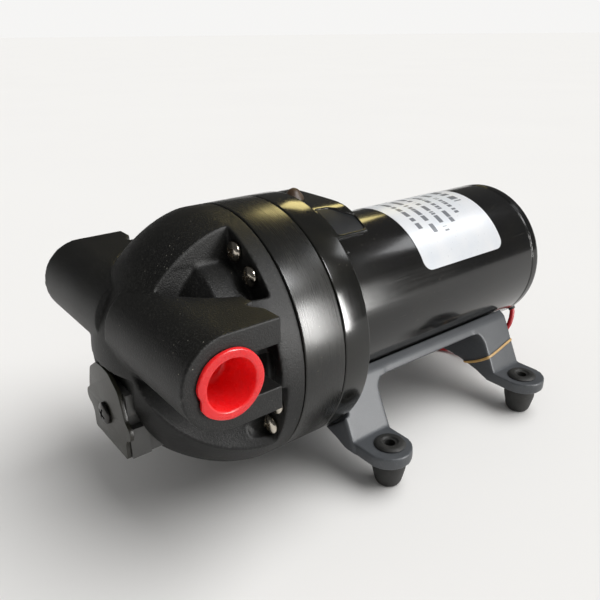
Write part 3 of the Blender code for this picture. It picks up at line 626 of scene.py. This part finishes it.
LEAD = lead_jacket()
LATEX = latex()


# ---------------------------------------------------------------- pump head

DOME_LENGTH = 49.0 * MM
DOME_POWER = 1.61


def dome_radius(axial):
    depth = min(1.0, (FLANGE_FRONT - axial) / DOME_LENGTH)
    return RING_R * math.sqrt(max(0.0, 1 - depth ** DOME_POWER))


def dome(back, inset=0.0):
    """The cover's outer shape, or one that lies inside it."""
    steps = 44
    turns = [math.sin(math.pi / 2 * i / steps) for i in range(1, steps + 1)]
    places = [FLANGE_FRONT - DOME_LENGTH * t for t in turns]
    outline = [(axial, max(0.1 * MM, dome_radius(axial) - inset)) for axial in places[:-1]]
    rim = RING_R - inset
    return lathe([(back, 0), (back, rim), (FLANGE_FRONT, rim)] + outline + [(places[-1], 0)], sides=128)


def chamber_core(inset=0.0):
    """The drum under the pockets, with its domed front."""
    outline = [(0, 43.2 * MM), mm(-22.5, 43.2), mm(-27.5, 38.5), mm(-33.0, 32.0),
               mm(-40.0, 20.0)]
    inner = [(axial, radius - inset) for axial, radius in outline]
    return lathe([(0, 0)] + inner + [(-46.0 * MM, 0)], sides=96)


def spread(side, near, far):
    """The lower and the higher y of two distances out to one side."""
    return sorted((-side * near, -side * far))


def port_outline():
    bow = arc((PORT_X, PORT_Z), 17.5 * MM, 90, 270, 33)
    return bow + [(-17.4 * MM, PORT_Z - 17.5 * MM), (-17.4 * MM, PORT_Z + 17.5 * MM)]


def bars(centres, start, end, radius, sides=32):
    """Round bars along X through the given points, in one mesh."""
    bm = bmesh.new()
    for centre in centres:
        spot = Matrix.Translation(((start + end) / 2, centre[1], centre[2]))
        bmesh.ops.create_cone(bm, cap_ends=True, segments=sides, radius1=radius, radius2=radius,
                              depth=abs(end - start), matrix=spot @ Matrix.Rotation(math.pi / 2, 4, 'Y'))
    return bm


def screw_centres():
    return [around(SCREW_CIRCLE_R, angle, side=side) for side in (1, -1) for angle in SCREW_ANGLES]


def port_cuts(side):
    def spot(x, y, z):
        return (x, -side * y, z)
    seat = cone(spot(PORT_X, 42 * MM, PORT_Z), spot(PORT_X, 70 * MM, PORT_Z), 11.6 * MM)
    low, high = spread(side, 46 * MM, 70 * MM)
    slot = block((PORT_X, low, 7.2 * MM), (SLOT_END, high, 23.4 * MM))
    return [seat, slot]


def pockets(side):
    """The open pocket, the bowl about the port, and the deep pocket behind the port boss."""
    low, high = spread(side, STRAP_HALF_WIDTH, 80 * MM)
    upper = item_from("upper", block((-70 * MM, low, 31.7 * MM), (FLANGE_FRONT, high, 70 * MM)))
    bowl = item_from("bowl", cone((PORT_X, -side * 6.5 * MM, PORT_Z), (PORT_X, -side * 72 * MM, PORT_Z),
                                  0.1 * MM, 88.0 * MM, sides=128))
    keep(bowl, block(mm(-90, -80, -90), (FLANGE_FRONT, 80 * MM, 10.5 * MM)))
    low, high = spread(side, STRAP_HALF_WIDTH - 0.15 * MM, 60 * MM)
    deep = item_from("deep", block((-50 * MM, low, 25 * MM), (FLANGE_FRONT - 0.15 * MM, high, 40 * MM)))
    keep(deep, dome(0, 1.0 * MM))
    return cut(upper, chamber_core()), cut(bowl, chamber_core()), cut(deep, chamber_core(0.1 * MM))


def fillet_weight(x, y, z):
    """How far a point of the cover may be drawn in, from 0 to 1, for a place in mm."""
    if 16 < abs(y) < 24 and 36 < z < 46.5 and -24 < x < -12:
        return 0.8                              # where the strap's wall meets the drum
    parts = ((-40 - x) / 4, (abs(y) - 8) / 6, (53 - abs(y)) / 6, (z - 4) / 6,
             max((28 - z) / 4, (-45.5 - x) / 2))
    weight = 1.0
    for part in parts:
        weight *= min(1.0, max(0.0, part))
    return weight


def blend_bosses(cover):
    """Draws the front of each port boss into the dome with a long fillet."""
    near = cover.vertex_groups.new(name="fillet")
    for vert in cover.data.vertices:
        near.add([vert.index], fillet_weight(*(vert.co / MM)), 'REPLACE')
    having(cover.modifiers.new("fillet", 'SMOOTH'), factor=0.5, iterations=60, vertex_group="fillet")
    return settle(cover)


def head_cover():
    cover = item_from("head_cover_moulding", dome(-GAP / 2))
    deep_pockets = []
    for side in (1, -1):
        upper, bowl, deep = pockets(side)
        deep_pockets.append(deep)
        cut(cover, upper, bowl)
    for side in (1, -1):
        low, high = spread(side, 4 * MM, PORT_FACE)
        join(cover, prism(port_outline(), low, high, 'Y'))
    corners = []
    for side in (1, -1):
        outline = [mm(x, -side * y)
                   for x, y in ((-17.2, 54.6), (-20.6, 49.5), (-20.0, 47.5), (-17.2, 47.5))]
        corners.append(prism(outline, 24.2 * MM, 36 * MM, 'Z'))
    cut(cover, *deep_pockets, *corners)
    valve_seat = cone((-12.4 * MM, 0, 0), (5 * MM, 0, 0), 41.3 * MM)
    front = block(mm(-70, -24, -36), mm(-53.0, 24, 1.6))
    body = block(mm(-70, -17.0, -36), mm(-41.0, 17.0, -5.0))
    cut(cover, *port_cuts(1), *port_cuts(-1), valve_seat, front, body)
    pad = item_from("pad", block(mm(-10.8, -56, -1.0), mm(-6.5, -49, 15.5)))
    join(cover, keep(pad, dome(0, 0.1 * MM)))
    cut(cover, bars(screw_centres(), -17 * MM, FLANGE_FRONT + 0.15 * MM, 4.7 * MM),
        bars(screw_centres(), -20 * MM, 5 * MM, 2.3 * MM))
    soften(cover, 0.55 * MM, 5, 190000, blend_bosses)
    attach(cover, COVER, ["head_cover"], 60)


def screw_mesh(name, head_r, height, shank_r, shank, cross):
    """A pan-head screw along X: its seat at x = 0, the head towards -X, the shank towards +X."""
    crown = []
    for step in range(11):
        turn = math.radians(90 - 9 * step)
        crown.append((-height * (0.32 + 0.68 * math.cos(turn)), head_r * math.sin(turn)))
    profile = [(shank, 0), (shank, shank_r), (0, shank_r), (0, head_r), (-height * 0.18, head_r)]
    item = item_from(name, lathe(profile + crown[:-1] + [(-height, 0)], sides=64))
    reach, arm, deep = cross
    front, floor = -height - 1 * MM, -height + deep
    cut(item, block((front, -reach, -arm), (floor, reach, arm)),
        block((front, -arm, -reach), (floor, arm, reach)))
    cut(item, cone((front, 0, 0), (floor + 0.25 * deep, 0, 0), arm * 2.6, arm * 0.7, 24))
    edge_bevel(item, 0.10 * MM, 2, 35)
    return settle(item)


def head_screws():
    seat = FLANGE_FRONT - 0.15 * MM
    first = screw_mesh("head_screw_seen_1", 4.05 * MM, 2.6 * MM, 2.0 * MM, 28.5 * MM - seat,
                       mm(2.35, 0.55, 1.5))
    smooth_shade(first, 40)
    for number, centre in enumerate(screw_centres(), 1):
        item = first if number == 1 else placed(f"head_screw_seen_{number}", first.data)
        having(item, location=ORIGIN + centre + Vector((seat, 0, 0)),
               rotation_euler=(math.radians(37 * number), 0, 0))
        attach(item, STAINLESS, [f"head_screw_{number}"])


def port_plug(number, side, word):
    """A transit plug: an uneven soft flange with one dent, and a hollow tapered cup."""
    flange = PORT_FACE + 0.3 * MM
    corners = corners_from(flange, 0, (-15.4, 0, 0), (-15.4, 7.4, 1.6), (1.6, 9.3, 0.8), (1.6, 12.75, 0.7),
                           (0, 12.75, 0.4), (0, 11.2, 0.2), (-17, 10.4, 1.2), (-17, 0, 0))
    dent = math.radians(-12 if side > 0 else 192)

    def shape(turn, axial, radius):
        away = abs((turn - dent + math.pi) % (2 * math.pi) - math.pi)
        if radius > 11.3 * MM and axial > flange - 0.1 * MM:
            wave = 0.12 * math.sin(3 * turn + 0.6) + 0.10 * math.sin(5 * turn + number)
            radius -= (0.25 + wave) * MM
            radius -= 0.95 * MM * math.exp(-(away / 0.16) ** 2)
            radius += 0.22 * MM * (math.exp(-((away - 0.42) / 0.16) ** 2))
            axial -= 0.18 * MM * (1 + math.sin(2 * turn + number))
        return axial, min(radius, 12.75 * MM)

    item = item_from(f"transit_plug_{word}", lathe(rounded(corners), sides=160, shape=shape,
                                                  along='-Y' if side > 0 else 'Y'))
    item.location = ORIGIN + Vector((PORT_X, 0, PORT_Z))
    body = "inlet_plug" if side > 0 else "outlet_plug"
    attach(item, RED, [f"port_plug_{word}"], 50, body)


# ---------------------------------------------------------------- rings and motor

def rings():
    edge = 0.7 * MM
    start, end = GAP / 2, HOUSING_END - GAP / 2
    profile = [(end, 40 * MM), (end, RING_R, edge), (start, RING_R, edge), (start, 44.2 * MM),
               mm(2.0, 44.2), mm(2.0, 40)]
    housing = item_from("housing_ring", lathe(rounded(profile), sides=256, closed=True))
    cut(housing, bars(screw_centres(), -5 * MM, 25 * MM, 2.3 * MM))
    attach(housing, HOUSING, ["pump_housing"])
    start = HOUSING_END + GAP / 2
    profile = [(ADAPTOR_END, 11.3 * MM), (ADAPTOR_END, RING_R, 1.0 * MM), (start, RING_R, edge),
               (start, 40 * MM), mm(29, 40), mm(29, 11.3)]
    adaptor = item_from("adaptor_ring", lathe(rounded(profile), sides=256, closed=True))
    cut(adaptor, bars(screw_centres(), 15 * MM, 31 * MM, 2.3 * MM))
    attach(adaptor, ADAPTOR, ["motor_adaptor"])


LUG_ANGLES = (50.7, 129.3)
LUG_TOP = 52.0 * MM
PANEL_STEPS = 12


def lug_panel(grow, depth):
    """The solid of one flank's recess, out to the radius depth, narrower towards the rear."""
    front, back = ADAPTOR_END + 1.2 * MM - grow, SADDLE_END - 1.0 * MM + grow
    low = math.radians(53.2) - grow / RING_R
    rows = [(front, math.radians(70.5)), (front + 6 * MM, math.radians(69.5)), (back, math.radians(61.5))]
    bm = bmesh.new()
    rings = []
    for x, high in rows:
        high += grow / RING_R
        turns = [low + (high - low) * step / PANEL_STEPS for step in range(PANEL_STEPS + 1)]
        inner = [(RING_R - 4 * MM, turn) for turn in turns]
        outer = [(depth, turn) for turn in reversed(turns)]
        rings.append([bm.verts.new((x, -radius * math.cos(turn), radius * math.sin(turn)))
                      for radius, turn in inner + outer])
    bm.faces.new(rings[0])
    bm.faces.new(rings[-1])
    return skin(bm, rings)


def mirrored(bm):
    """The same shape on the far side."""
    bmesh.ops.scale(bm, vec=(1, -1, 1), verts=bm.verts)
    bmesh.ops.reverse_faces(bm, faces=bm.faces)
    return bm


def saddle_lug():
    """The flat-topped lug over the motor, with its two matt panels and the mould gate."""
    outer, inner = RING_R - 0.12 * MM, CAN_R + 0.6 * MM
    start, end = LUG_ANGLES
    top, steps, sharpness = [], 96, 60
    for step in range(steps + 1):
        angle = math.radians(start + 78.6 * step / steps)
        flat = LUG_TOP / math.sin(angle)
        radius = (outer ** -sharpness + flat ** -sharpness) ** (-1 / sharpness)
        top.append((-radius * math.cos(angle), radius * math.sin(angle)))
    section = top + arc((0, 0), inner, end, start, 49)
    lug = item_from("saddle_lug", prism(section, ADAPTOR_END - 2.5 * MM, SADDLE_END - 0.1 * MM, 'X'))
    past = RING_R + 1 * MM
    cut(lug, lug_panel(0, past), mirrored(lug_panel(0, past)))
    soften(lug, 0.40 * MM, 22, 60000)
    attach(lug, ADAPTOR, (), 60)
    depth = RING_R - 0.9 * MM
    panels = item_from("lug_panels", lug_panel(0.6 * MM, depth))
    join(panels, mirrored(lug_panel(0.6 * MM, depth)))
    attach(panels, SADDLE, (), 60)
    nib = lathe(rounded([(-1.6 * MM, 0), mm(-1.6, 5.2, 0.5), mm(0.8, 4.9, 1.2),
                         mm(4.2, 2.2, 1.4), (4.8 * MM, 0)]), sides=48, along='Z')
    gate = item_from("mould_gate", nib)
    having(gate, location=ORIGIN + Vector((37 * MM, 0, LUG_TOP)), scale=(0.9, 0.9, 1))
    attach(gate, GATE, ())


def motor_can():
    """The drawn steel can, its rear edge rolled in over a shallow groove."""
    edge = corners_from(CAN_END, CAN_R, (0, -0.5, 0.3), (-1.3, 0, 0.8), (-5.0, 0, 0.3),
                        (-5.4, -0.35, 0.2), (-5.9, -0.35, 0.2), (-6.3, 0, 0.3))
    profile = [(CAN_END, CAN_BORE_R), *edge, (CAN_START, CAN_R, 0.6 * MM), (CAN_START, CAN_BORE_R)]
    can = item_from("motor_shell", lathe(rounded(profile), sides=256, closed=True))
    attach(can, PAINT, ["motor_can"])


def end_bell():
    face = 179.5 * MM
    profile = [(BELL_END, 0), (BELL_END, 10 * MM, 1.5 * MM), mm(181.8, 15, 2),
               mm(180.3, 21, 2), (face, 26 * MM, 2 * MM), (face, 33.8 * MM, 1.2 * MM),
               (face - 0.8 * MM, 34.6 * MM, 0.8 * MM), mm(174.5, 35.2), mm(168, 36.1, 0.3),
               mm(168, 30.0), mm(172, 29.0), mm(174.6, 24), mm(174.6, 10.5),
               mm(166, 10.5, 0.3), mm(166, 8.3, 0.3), mm(176.5, 8.3),
               (176.5 * MM, 0)]
    bell = item_from("motor_end_bell", lathe(rounded(profile), sides=160))
    centres = [(0, 0, 31.2 * MM), (0, 0, -31.2 * MM)]
    cut(bell, bars(centres, 160 * MM, 190 * MM, 2.0 * MM))
    attach(bell, BELL_STEEL, ["end_bell"], 35)
    for word, centre in zip(("upper", "lower"), centres):
        bolt = screw_mesh(f"tie_bolt_{word}", 3.2 * MM, 2.2 * MM, 1.7 * MM, 141.2 * MM,
                          mm(1.9, 0.45, 1.2))
        having(bolt, location=ORIGIN + Vector((face + GAP, 0, centre[2])), rotation_euler=(0, 0, math.pi))
        attach(bolt, STAINLESS, [f"through_bolt_{word}"])


def motor_label():
    """A rounded rectangle of thin foil, bent round the can."""
    low, high = LABEL_LOW.x, LABEL_HIGH.x
    radius = CAN_R + 0.22 * MM
    start, end = math.radians(25), math.radians(155)
    corner = 5.0 * MM
    along = []
    corner_steps, middle_steps, round_steps = 12, 16, 96
    for step in range(corner_steps + 1):
        along.append(corner * (1 - math.cos(math.pi / 2 * step / corner_steps)))
    straight = high - low - 2 * corner
    middle = [corner + straight * i / middle_steps for i in range(1, middle_steps)]
    rows = along + middle + [high - low - d for d in reversed(along)]
    bm = bmesh.new()
    layer = bm.loops.layers.uv.new("label")
    grid, shares = [], {}
    for distance in rows:
        nearest = min(distance, high - low - distance)
        inset = 0.0
        if nearest < corner:
            inset = corner - math.sqrt(max(0.0, corner ** 2 - (corner - nearest) ** 2))
        first, last = start + inset / radius, end - inset / radius
        line = []
        for i in range(round_steps + 1):
            turn = first + (last - first) * i / round_steps
            vert = bm.verts.new((low + distance, radius * math.cos(turn), radius * math.sin(turn)))
            shares[vert] = (distance / (high - low), (turn - start) / (end - start))
            line.append(vert)
        grid.append(line)
    skin(bm, grid, around=False)
    for face in bm.faces:
        for loop in face.loops:
            loop[layer].uv = shares[loop.vert]
    item = item_from("rating_label", bm)
    if item.data.polygons[1000].normal.z < 0:
        item.data.flip_normals()
    having(item.modifiers.new("foil", 'SOLIDIFY'), thickness=0.14 * MM, offset=-1)
    settle(item)
    attach(item, FOIL, ["motor_label"])


# ---------------------------------------------------------------- switch

def bevelled(node, width, finish, segments=2):
    """A carried-over CAD node with its sharp edges softened."""
    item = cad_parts[node]
    having(item.modifiers.new("weld", 'WELD'), merge_threshold=0.01 * MM)
    edge_bevel(item, width, segments).harden_normals = True
    coat(item, finish)


def switch_outline():
    half = [(0, 1.1), (6.0, 0.6), (13.5, -4.4), (15.7, -10.0), (17.5, -15.5), (20.4, -17.2), (21.5, -19.8),
            (20.6, -22.4), (17.0, -24.0), (15.7, -27.0), (15.7, -33.3)]
    points = [mm(y, z, 1.2) for y, z in half]
    return rounded(points[:-1] + [points[-1]] + [(-y, z, r) for y, z, r in reversed(points[1:])], 4)


def pressure_switch():
    face, back = (corner.x for corner in span("switch_cover"))
    centre = Vector(mm(0, 1.1, -20.0))
    plate = item_from("switch_front", prism(switch_outline(), face, back, 'X'))
    cut(plate, bars([centre], face - 5 * MM, back + 5 * MM, 1.9 * MM))
    edge_bevel(plate, 0.35 * MM, 3, 50)
    attach(settle(plate), SWITCH, ["switch_cover"])
    bevelled("switch_body", 0.45 * MM, SWITCH_GREY)
    bevelled("micro_switch", 0.2 * MM, SWITCH)
    screw = screw_mesh("switch_front_screw", 4.6 * MM, 2.0 * MM, 1.6 * MM, 9.5 * MM,
                       mm(2.7, 0.6, 1.2))
    having(screw, location=ORIGIN + centre + Vector((face - GAP, 0, 0)),
           rotation_euler=(math.radians(24), 0, 0))
    attach(screw, DARK_STEEL, ["switch_screw"])


# ---------------------------------------------------------------- base

FOOT_TOP = -47.3 * MM
FOOT_THICK = 5.5 * MM
FOOT_Y = 57.7 * MM
FEET = [(x, y) for x in mm(44.2, 141.0) for y in (-FOOT_Y, FOOT_Y)]
LEG_SPANS = (mm(31.4, 54.5), mm(131.0, 152.4))
CRADLE = mm(36.0, 153.0)
RIM_ANGLE = 34


def leg_section():
    right = [(33.9, -22.9), (36.2, -24.2), (47.3, -47.3), (49.0, -52.5), (42.0, -52.5), (36.0, -50.0),
             (24.0, -47.0), (10.0, -46.0)]
    right = [mm(y, z) for y, z in right]
    under = right + [(-y, z) for y, z in reversed(right)]
    return under + arc((0, 0), 40.6 * MM, 180 + RIM_ANGLE + 2, 360 - RIM_ANGLE - 2, 40)


def leg_side(start, end, first):
    low = FOOT_TOP - FOOT_THICK - 5 * MM
    top, under, corner = -15 * MM, -27.0 * MM, 6.0 * MM
    if first:
        bend = arc((end + corner, under - corner), corner, 180, 90, 12)
        return [(start, top), (start, low), (end, low)] + bend + [(end + corner, top)]
    bend = arc((start - corner, under - corner), corner, 90, 0, 12)
    return [(start - corner, top)] + bend + [(start, low), (end, low), (end, top)]


def cradle():
    inner = CAN_R + 0.5 * MM
    trough = (arc((0, 0), 42.6 * MM, 180 + RIM_ANGLE, 360 - RIM_ANGLE, 64)
              + arc((0, 0), inner, 360 - RIM_ANGLE, 180 + RIM_ANGLE, 64))
    body = item_from("cast_cradle", prism(trough, *CRADLE, 'X'))
    for sign in (-1, 1):
        rail = [mm(sign * y, z)
                for y, z in ((33.2, -22.4), (35.9, -23.9), (37.5, -27.3), (34.4, -27.6))]
        join(body, prism(rail, CRADLE[0] + GAP, CRADLE[1] - GAP, 'X'))
    for number, (start, end) in enumerate(LEG_SPANS):
        legs = item_from("legs", prism(leg_section(), start - 10 * MM, end + 10 * MM, 'X'))
        keep(legs, prism(leg_side(start, end, number == 0), -70 * MM, 70 * MM, 'Y'))
        join(body, legs)
    cut(body, cone((0, 0, 0), (ADAPTOR_END + 2 * GAP, 0, 0), RING_R + 1 * MM, sides=128))
    half = (LEG_SPANS[1][1] - LEG_SPANS[1][0]) / 2 + 0.15 * MM
    for start, end in LEG_SPANS:
        middle = (start + end) / 2
        for sign in (-1, 1):
            tip = arc((middle, sign * FOOT_Y), half, 0, sign * 180, 49)
            plate = tip + [(middle - half, sign * 43 * MM), (middle + half, sign * 43 * MM)]
            join(body, prism(plate, FOOT_TOP - FOOT_THICK, FOOT_TOP, 'Z'))
    for x, y in FEET:
        cut(body, cone((x, y, -60 * MM), (x, y, -40 * MM), 5.2 * MM, sides=48))
    soften(body, 0.55 * MM, 9, 190000)
    attach(body, CAST, ["base"], 60)


def grommets():
    top = FOOT_TOP + GAP
    low = FOOT_TOP - FOOT_THICK - GAP
    hole = 2.4
    corners = corners_from(top, 0, (0.3, hole, 0), (0.5, 3.2, 0.3), (1.2, 3.8, 0.4), (1.2, 5.9, 0.8),
                           (0, 7.25, 0.5), (0, 4.8, 0))
    corners += corners_from(low, 0, (0, 4.8, 0), (0, 7.6, 0.6), (-5.0, 7.6, 1.2))
    corners += corners_from(FLOOR, 0, (1.5, 6.0, 1.0), (0, 5.0, 0.4), (0, hole, 0))
    first = item_from("grommet_1", lathe(rounded(corners), sides=96, closed=True, along='Z'))
    for number, (x, y) in enumerate(FEET, 1):
        item = first if number == 1 else placed(f"grommet_{number}", first.data)
        having(item, location=ORIGIN + Vector((x, y, 0)), rotation_euler=(0, 0, math.radians(70 * number)))
        attach(item, RUBBER, [f"foot_grommet_{number}"])


def ribbon(path, outward, wide, thick):
    """A closed flat band through the path's points, lying square to the outward directions."""
    bm = bmesh.new()
    rings = []
    count = len(path)
    for i, (spot, out) in enumerate(zip(path, outward)):
        ahead = (path[(i + 1) % count] - path[i - 1]).normalized()
        across = ahead.cross(out).normalized()
        lift = across.cross(ahead)
        corners = ((-wide, -thick), (wide, -thick), (wide, thick), (-wide, thick))
        rings.append([bm.verts.new(spot + across * u / 2 + lift * v / 2) for u, v in corners])
    return skin(bm, rings, along=True)


def rubber_band():
    """A thin elastic band left round the rear leg on the near side."""
    places = [((152.0, -42.3, -35.6), (0.3, -0.9, 0.35)), ((146.5, -42.7, -36.5), (0, -0.93, 0.36)),
              ((139.9, -43.3, -37.9), (0, -0.93, 0.36)), ((134.5, -43.7, -38.8), (0, -0.93, 0.36)),
              ((131.0, -43.7, -39.4), (-0.5, -0.8, 0.3)), ((130.3, -42.6, -40.2), (-1, -0.2, 0)),
              ((130.3, -38.9, -42.9), (-1, 0, 0)), ((130.3, -33.4, -46.2), (-1, 0, 0)),
              ((130.4, -28.6, -48.0), (-0.9, 0, -0.4)), ((131.6, -27.4, -48.7), (-0.4, 0, -0.9)),
              ((141.0, -27.0, -48.4), (0, 0, -1)), ((151.6, -27.4, -48.7), (0.4, 0, -0.9)),
              ((153.0, -28.6, -47.9), (0.9, 0, -0.4)), ((153.1, -34.0, -43.4), (1, 0, 0)),
              ((153.1, -38.9, -38.9), (1, 0, 0)), ((152.9, -41.6, -36.3), (0.9, -0.4, 0))]
    path = [Vector(spot) * MM for spot, out in places]
    band = item_from("elastic_band", ribbon(path, [Vector(out) for spot, out in places], 1.5 * MM, 0.5 * MM))
    having(band.modifiers.new("round", 'SUBSURF'), levels=2)
    attach(settle(band), LATEX, angle=60)


# ---------------------------------------------------------------- lead

LEAD_DIAMETER = 2.8 * MM
LEAD_OUT = Vector((0, -0.62, -0.785)).normalized()
GLAND_X = 177.0 * MM
COIL_CENTRE = Vector((92.0, 48.0, 0)) * MM
LEAD_ROUTE = [Vector(point) * MM for point in (
    (177.0, -24.05, -30.45), (176.2, -25.05, -32.35), (174.9, -25.8, -35.0), (173.4, -26.0, -38.4),
    (171.8, -25.2, -42.0), (170.4, -23.2, -45.8), (169.3, -20.2, -49.6), (168.6, -16.2, -53.4),
    (167.9, -11.2, -57.0), (166.9, -5.2, -60.4), (165.0, 1.8, -63.2), (161.4, 9.4, -64.9),
    (155.6, 16.6, -65.1), (147.6, 22.2, -65.1), (138.4, 26.8, -65.1), (129.6, 32.2, -65.1),
    (122.4, 38.8, -65.1), (117.2, 44.6, -65.1), (113.6, 50.4, -65.1))]


def smooth_route(points, spacing):
    """Points every so far along a smooth curve through the given ones."""
    path = []
    for i in range(len(points) - 1):
        before = points[max(i - 1, 0)]
        start, end = points[i], points[i + 1]
        after = points[min(i + 2, len(points) - 1)]
        count = max(1, round((end - start).length / spacing))
        for step in range(count):
            t = step / count
            path.append(0.5 * ((2 * start) + (end - before) * t
                               + (2 * before - 5 * start + 4 * end - after) * t ** 2
                               + (3 * start - before - 3 * end + after) * t ** 3))
    path.append(points[-1])
    return path


def coil_points():
    """A flat spiral, inwards and counter-clockwise, from where the lead's free stretch meets it."""
    points = []
    height = LEAD_ROUTE[-1].z
    outer, inner = 17.95 * MM, 12.05 * MM
    start, turns = math.radians(42.8), 1.97
    count = 60
    for i in range(count + 1):
        share = i / count
        radius = outer + (inner - outer) * share
        turn = start + 2 * math.pi * turns * share
        points.append(COIL_CENTRE + Vector((radius * math.cos(turn), radius * math.sin(turn), height)))
    return points


def red_lead():
    path = smooth_route(LEAD_ROUTE + coil_points(), 3.0 * MM)
    curve = having(bpy.data.curves.new("motor_lead", 'CURVE'), dimensions='3D',
                   bevel_depth=LEAD_DIAMETER / 2, bevel_resolution=5, use_fill_caps=True)
    spline = curve.splines.new('POLY')
    spline.points.add(len(path) - 1)
    for point, spot in zip(spline.points, path):
        point.co = (*spot, 1)
    item = placed("motor_lead", curve)
    item.location = ORIGIN
    attach(item, LEAD, ["red_lead", "lead_coil"])
    foot = Vector((GLAND_X, 0, 0))
    gland = item_from("lead_bush", cone(foot + LEAD_OUT * 35.4 * MM, foot + LEAD_OUT * 39.3 * MM, 2.3 * MM,
                                        1.8 * MM, 48))
    edge_bevel(gland, 0.35 * MM, 3)
    settle(gland)
    attach(gland, RUBBER, ["lead_gland"])
    spot, before = path[-1], path[-2]
    ahead = (spot - before).normalized()
    wire = item_from("bare_wire", cone(spot - ahead * 1.0 * MM, spot + ahead * 5.0 * MM, 0.75 * MM,
                                       0.65 * MM, 32))
    attach(wire, COPPER_BAR, ())
    outer = arc((0, 0), 1, 0, 360, 25)[:-1]
    rim = COIL_CENTRE + Vector((0, 15.0 * MM, LEAD_ROUTE[-1].z + 0.36 * MM))
    loop = []
    for y, z in outer:
        wide = 4.75 * MM * math.copysign(abs(y) ** 0.45, y)
        high = 1.62 * MM * math.copysign(abs(z) ** 0.6, z)
        loop.append(rim + Vector((0, wide, high)))
    outward = [(spot - rim).normalized() for spot in loop]
    tie = item_from("coil_tie", ribbon(loop, outward, 2.6 * MM, 0.28 * MM))
    attach(tie, CARBON, ())


# ---------------------------------------------------------------- inner pieces

def inner_pieces():
    pistons = [f"piston_{number}" for number in (1, 2, 3, 4)]
    inlet_valves = [f"inlet_valve_{number}" for number in (1, 2, 3, 4)]
    finishes = {
        NYLON: ["valve_plate", "brush_holder", "switch_plunger", *pistons],
        RUBBER: ["diaphragm", "outlet_valve", *inlet_valves],
        ALUMINIUM: ["wobble_plate"],
        SHAFT_STEEL: ["motor_shaft", "wobble_bearing", "eccentric", "front_bearing", "rear_bearing",
                      "switch_spring"],
        BELL_STEEL: ["motor_front_plate"],
        FERRITE: ["magnet_near", "magnet_far"],
        IRON: ["armature_core"],
        WINDING: ["winding_front", "winding_rear"],
        COPPER_BAR: ["commutator"],
        CARBON: ["brush_near", "brush_far"],
    }
    for finish, nodes in finishes.items():
        for node in nodes:
            coat(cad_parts[node], finish)


# ---------------------------------------------------------------- stage

# The room's strength to the camera, to diffuse rays and to glossy rays
SEEN_ROOM, PLAIN_ROOM, REFLECTED_ROOM = 0.92, 0.34, 0.07
LIGHT_DISTANCE = 1.1
LIGHT_AIM = Vector((0, 0, 0.07))


def stage():
    """A pale floor in an even pale room, a soft fill from above and four soft lights."""
    made = Finish("floor", (0.80, 0.795, 0.785), 0.9)
    made.set("Specular IOR Level", 0.0)
    made.cloud(made.noise(2.5, 3), 0.3, 0.7, 1, (0.81, 0.805, 0.795))
    bm = bmesh.new()
    bmesh.ops.create_circle(bm, cap_ends=True, segments=64, radius=30)
    mesh = bpy.data.meshes.new("floor")
    bm.to_mesh(mesh)
    bm.free()
    floor = placed("floor", mesh)
    floor.data.materials.append(made.material)

    def heading(azimuth, elevation):
        """A direction from the pump: degrees from -Y towards +X, then up."""
        turn, rise = math.radians(azimuth), math.radians(elevation)
        return Vector((math.sin(turn) * math.cos(rise), -math.cos(turn) * math.cos(rise), math.sin(rise)))

    def light(name, kind, azimuth, elevation, power, colour):
        item = placed(name, having(bpy.data.lights.new(name, kind), energy=power, color=colour))
        towards = heading(azimuth, elevation)
        return having(item, location=LIGHT_AIM + towards * LIGHT_DISTANCE,
                      rotation_euler=towards.to_track_quat('Z', 'Y').to_euler())

    def softbox(name, azimuth, elevation, size, power, colour):
        item = light(name, 'AREA', azimuth, elevation, power, colour)
        having(item.data, shape='RECTANGLE', size=size[0], size_y=size[1])
        item.visible_diffuse = False

    fill = light("fill", 'SUN', 55, 58, 2.9, (1.0, 0.995, 0.985))
    fill.data.angle = math.radians(60)
    fill.visible_glossy = False
    softbox("key", 27, 10, (0.15, 0.62), 14.0, (1.0, 0.99, 0.97))
    softbox("window", 72, 42, (0.32, 0.18), 0.9, (0.97, 0.985, 1.0))
    softbox("upper", 22, 48, (0.35, 0.30), 7.0, (1.0, 1.0, 1.0))
    softbox("warm", 133, 38, (0.20, 0.24), 1.0, (1.0, 0.83, 0.35))
    world = bpy.data.worlds.new("room")
    world.use_nodes = True
    nodes, links = world.node_tree.nodes, world.node_tree.links
    background = nodes["Background"]
    background.inputs["Color"].default_value = (1.0, 0.995, 0.985, 1)
    path = nodes.new("ShaderNodeLightPath").outputs

    def for_rays(kind, strength):
        """A mix that gives this strength to one kind of ray; its To Min is for the others."""
        mix = nodes.new("ShaderNodeMapRange")
        links.new(path[kind], mix.inputs["Value"])
        mix.inputs["To Max"].default_value = strength
        return mix

    seen = for_rays("Is Camera Ray", SEEN_ROOM)
    seen.inputs["To Min"].default_value = PLAIN_ROOM
    reflected = for_rays("Is Glossy Ray", REFLECTED_ROOM)
    links.new(seen.outputs["Result"], reflected.inputs["To Min"])
    links.new(reflected.outputs["Result"], background.inputs["Strength"])
    bpy.context.scene.world = world
    bpy.context.scene.view_settings.view_transform = 'Standard'


head_cover()
head_screws()
port_plug(1, 1, "near")
port_plug(2, -1, "far")
rings()
saddle_lug()
motor_can()
end_bell()
motor_label()
pressure_switch()
cradle()
grommets()
rubber_band()
red_lead()
inner_pieces()
stage()
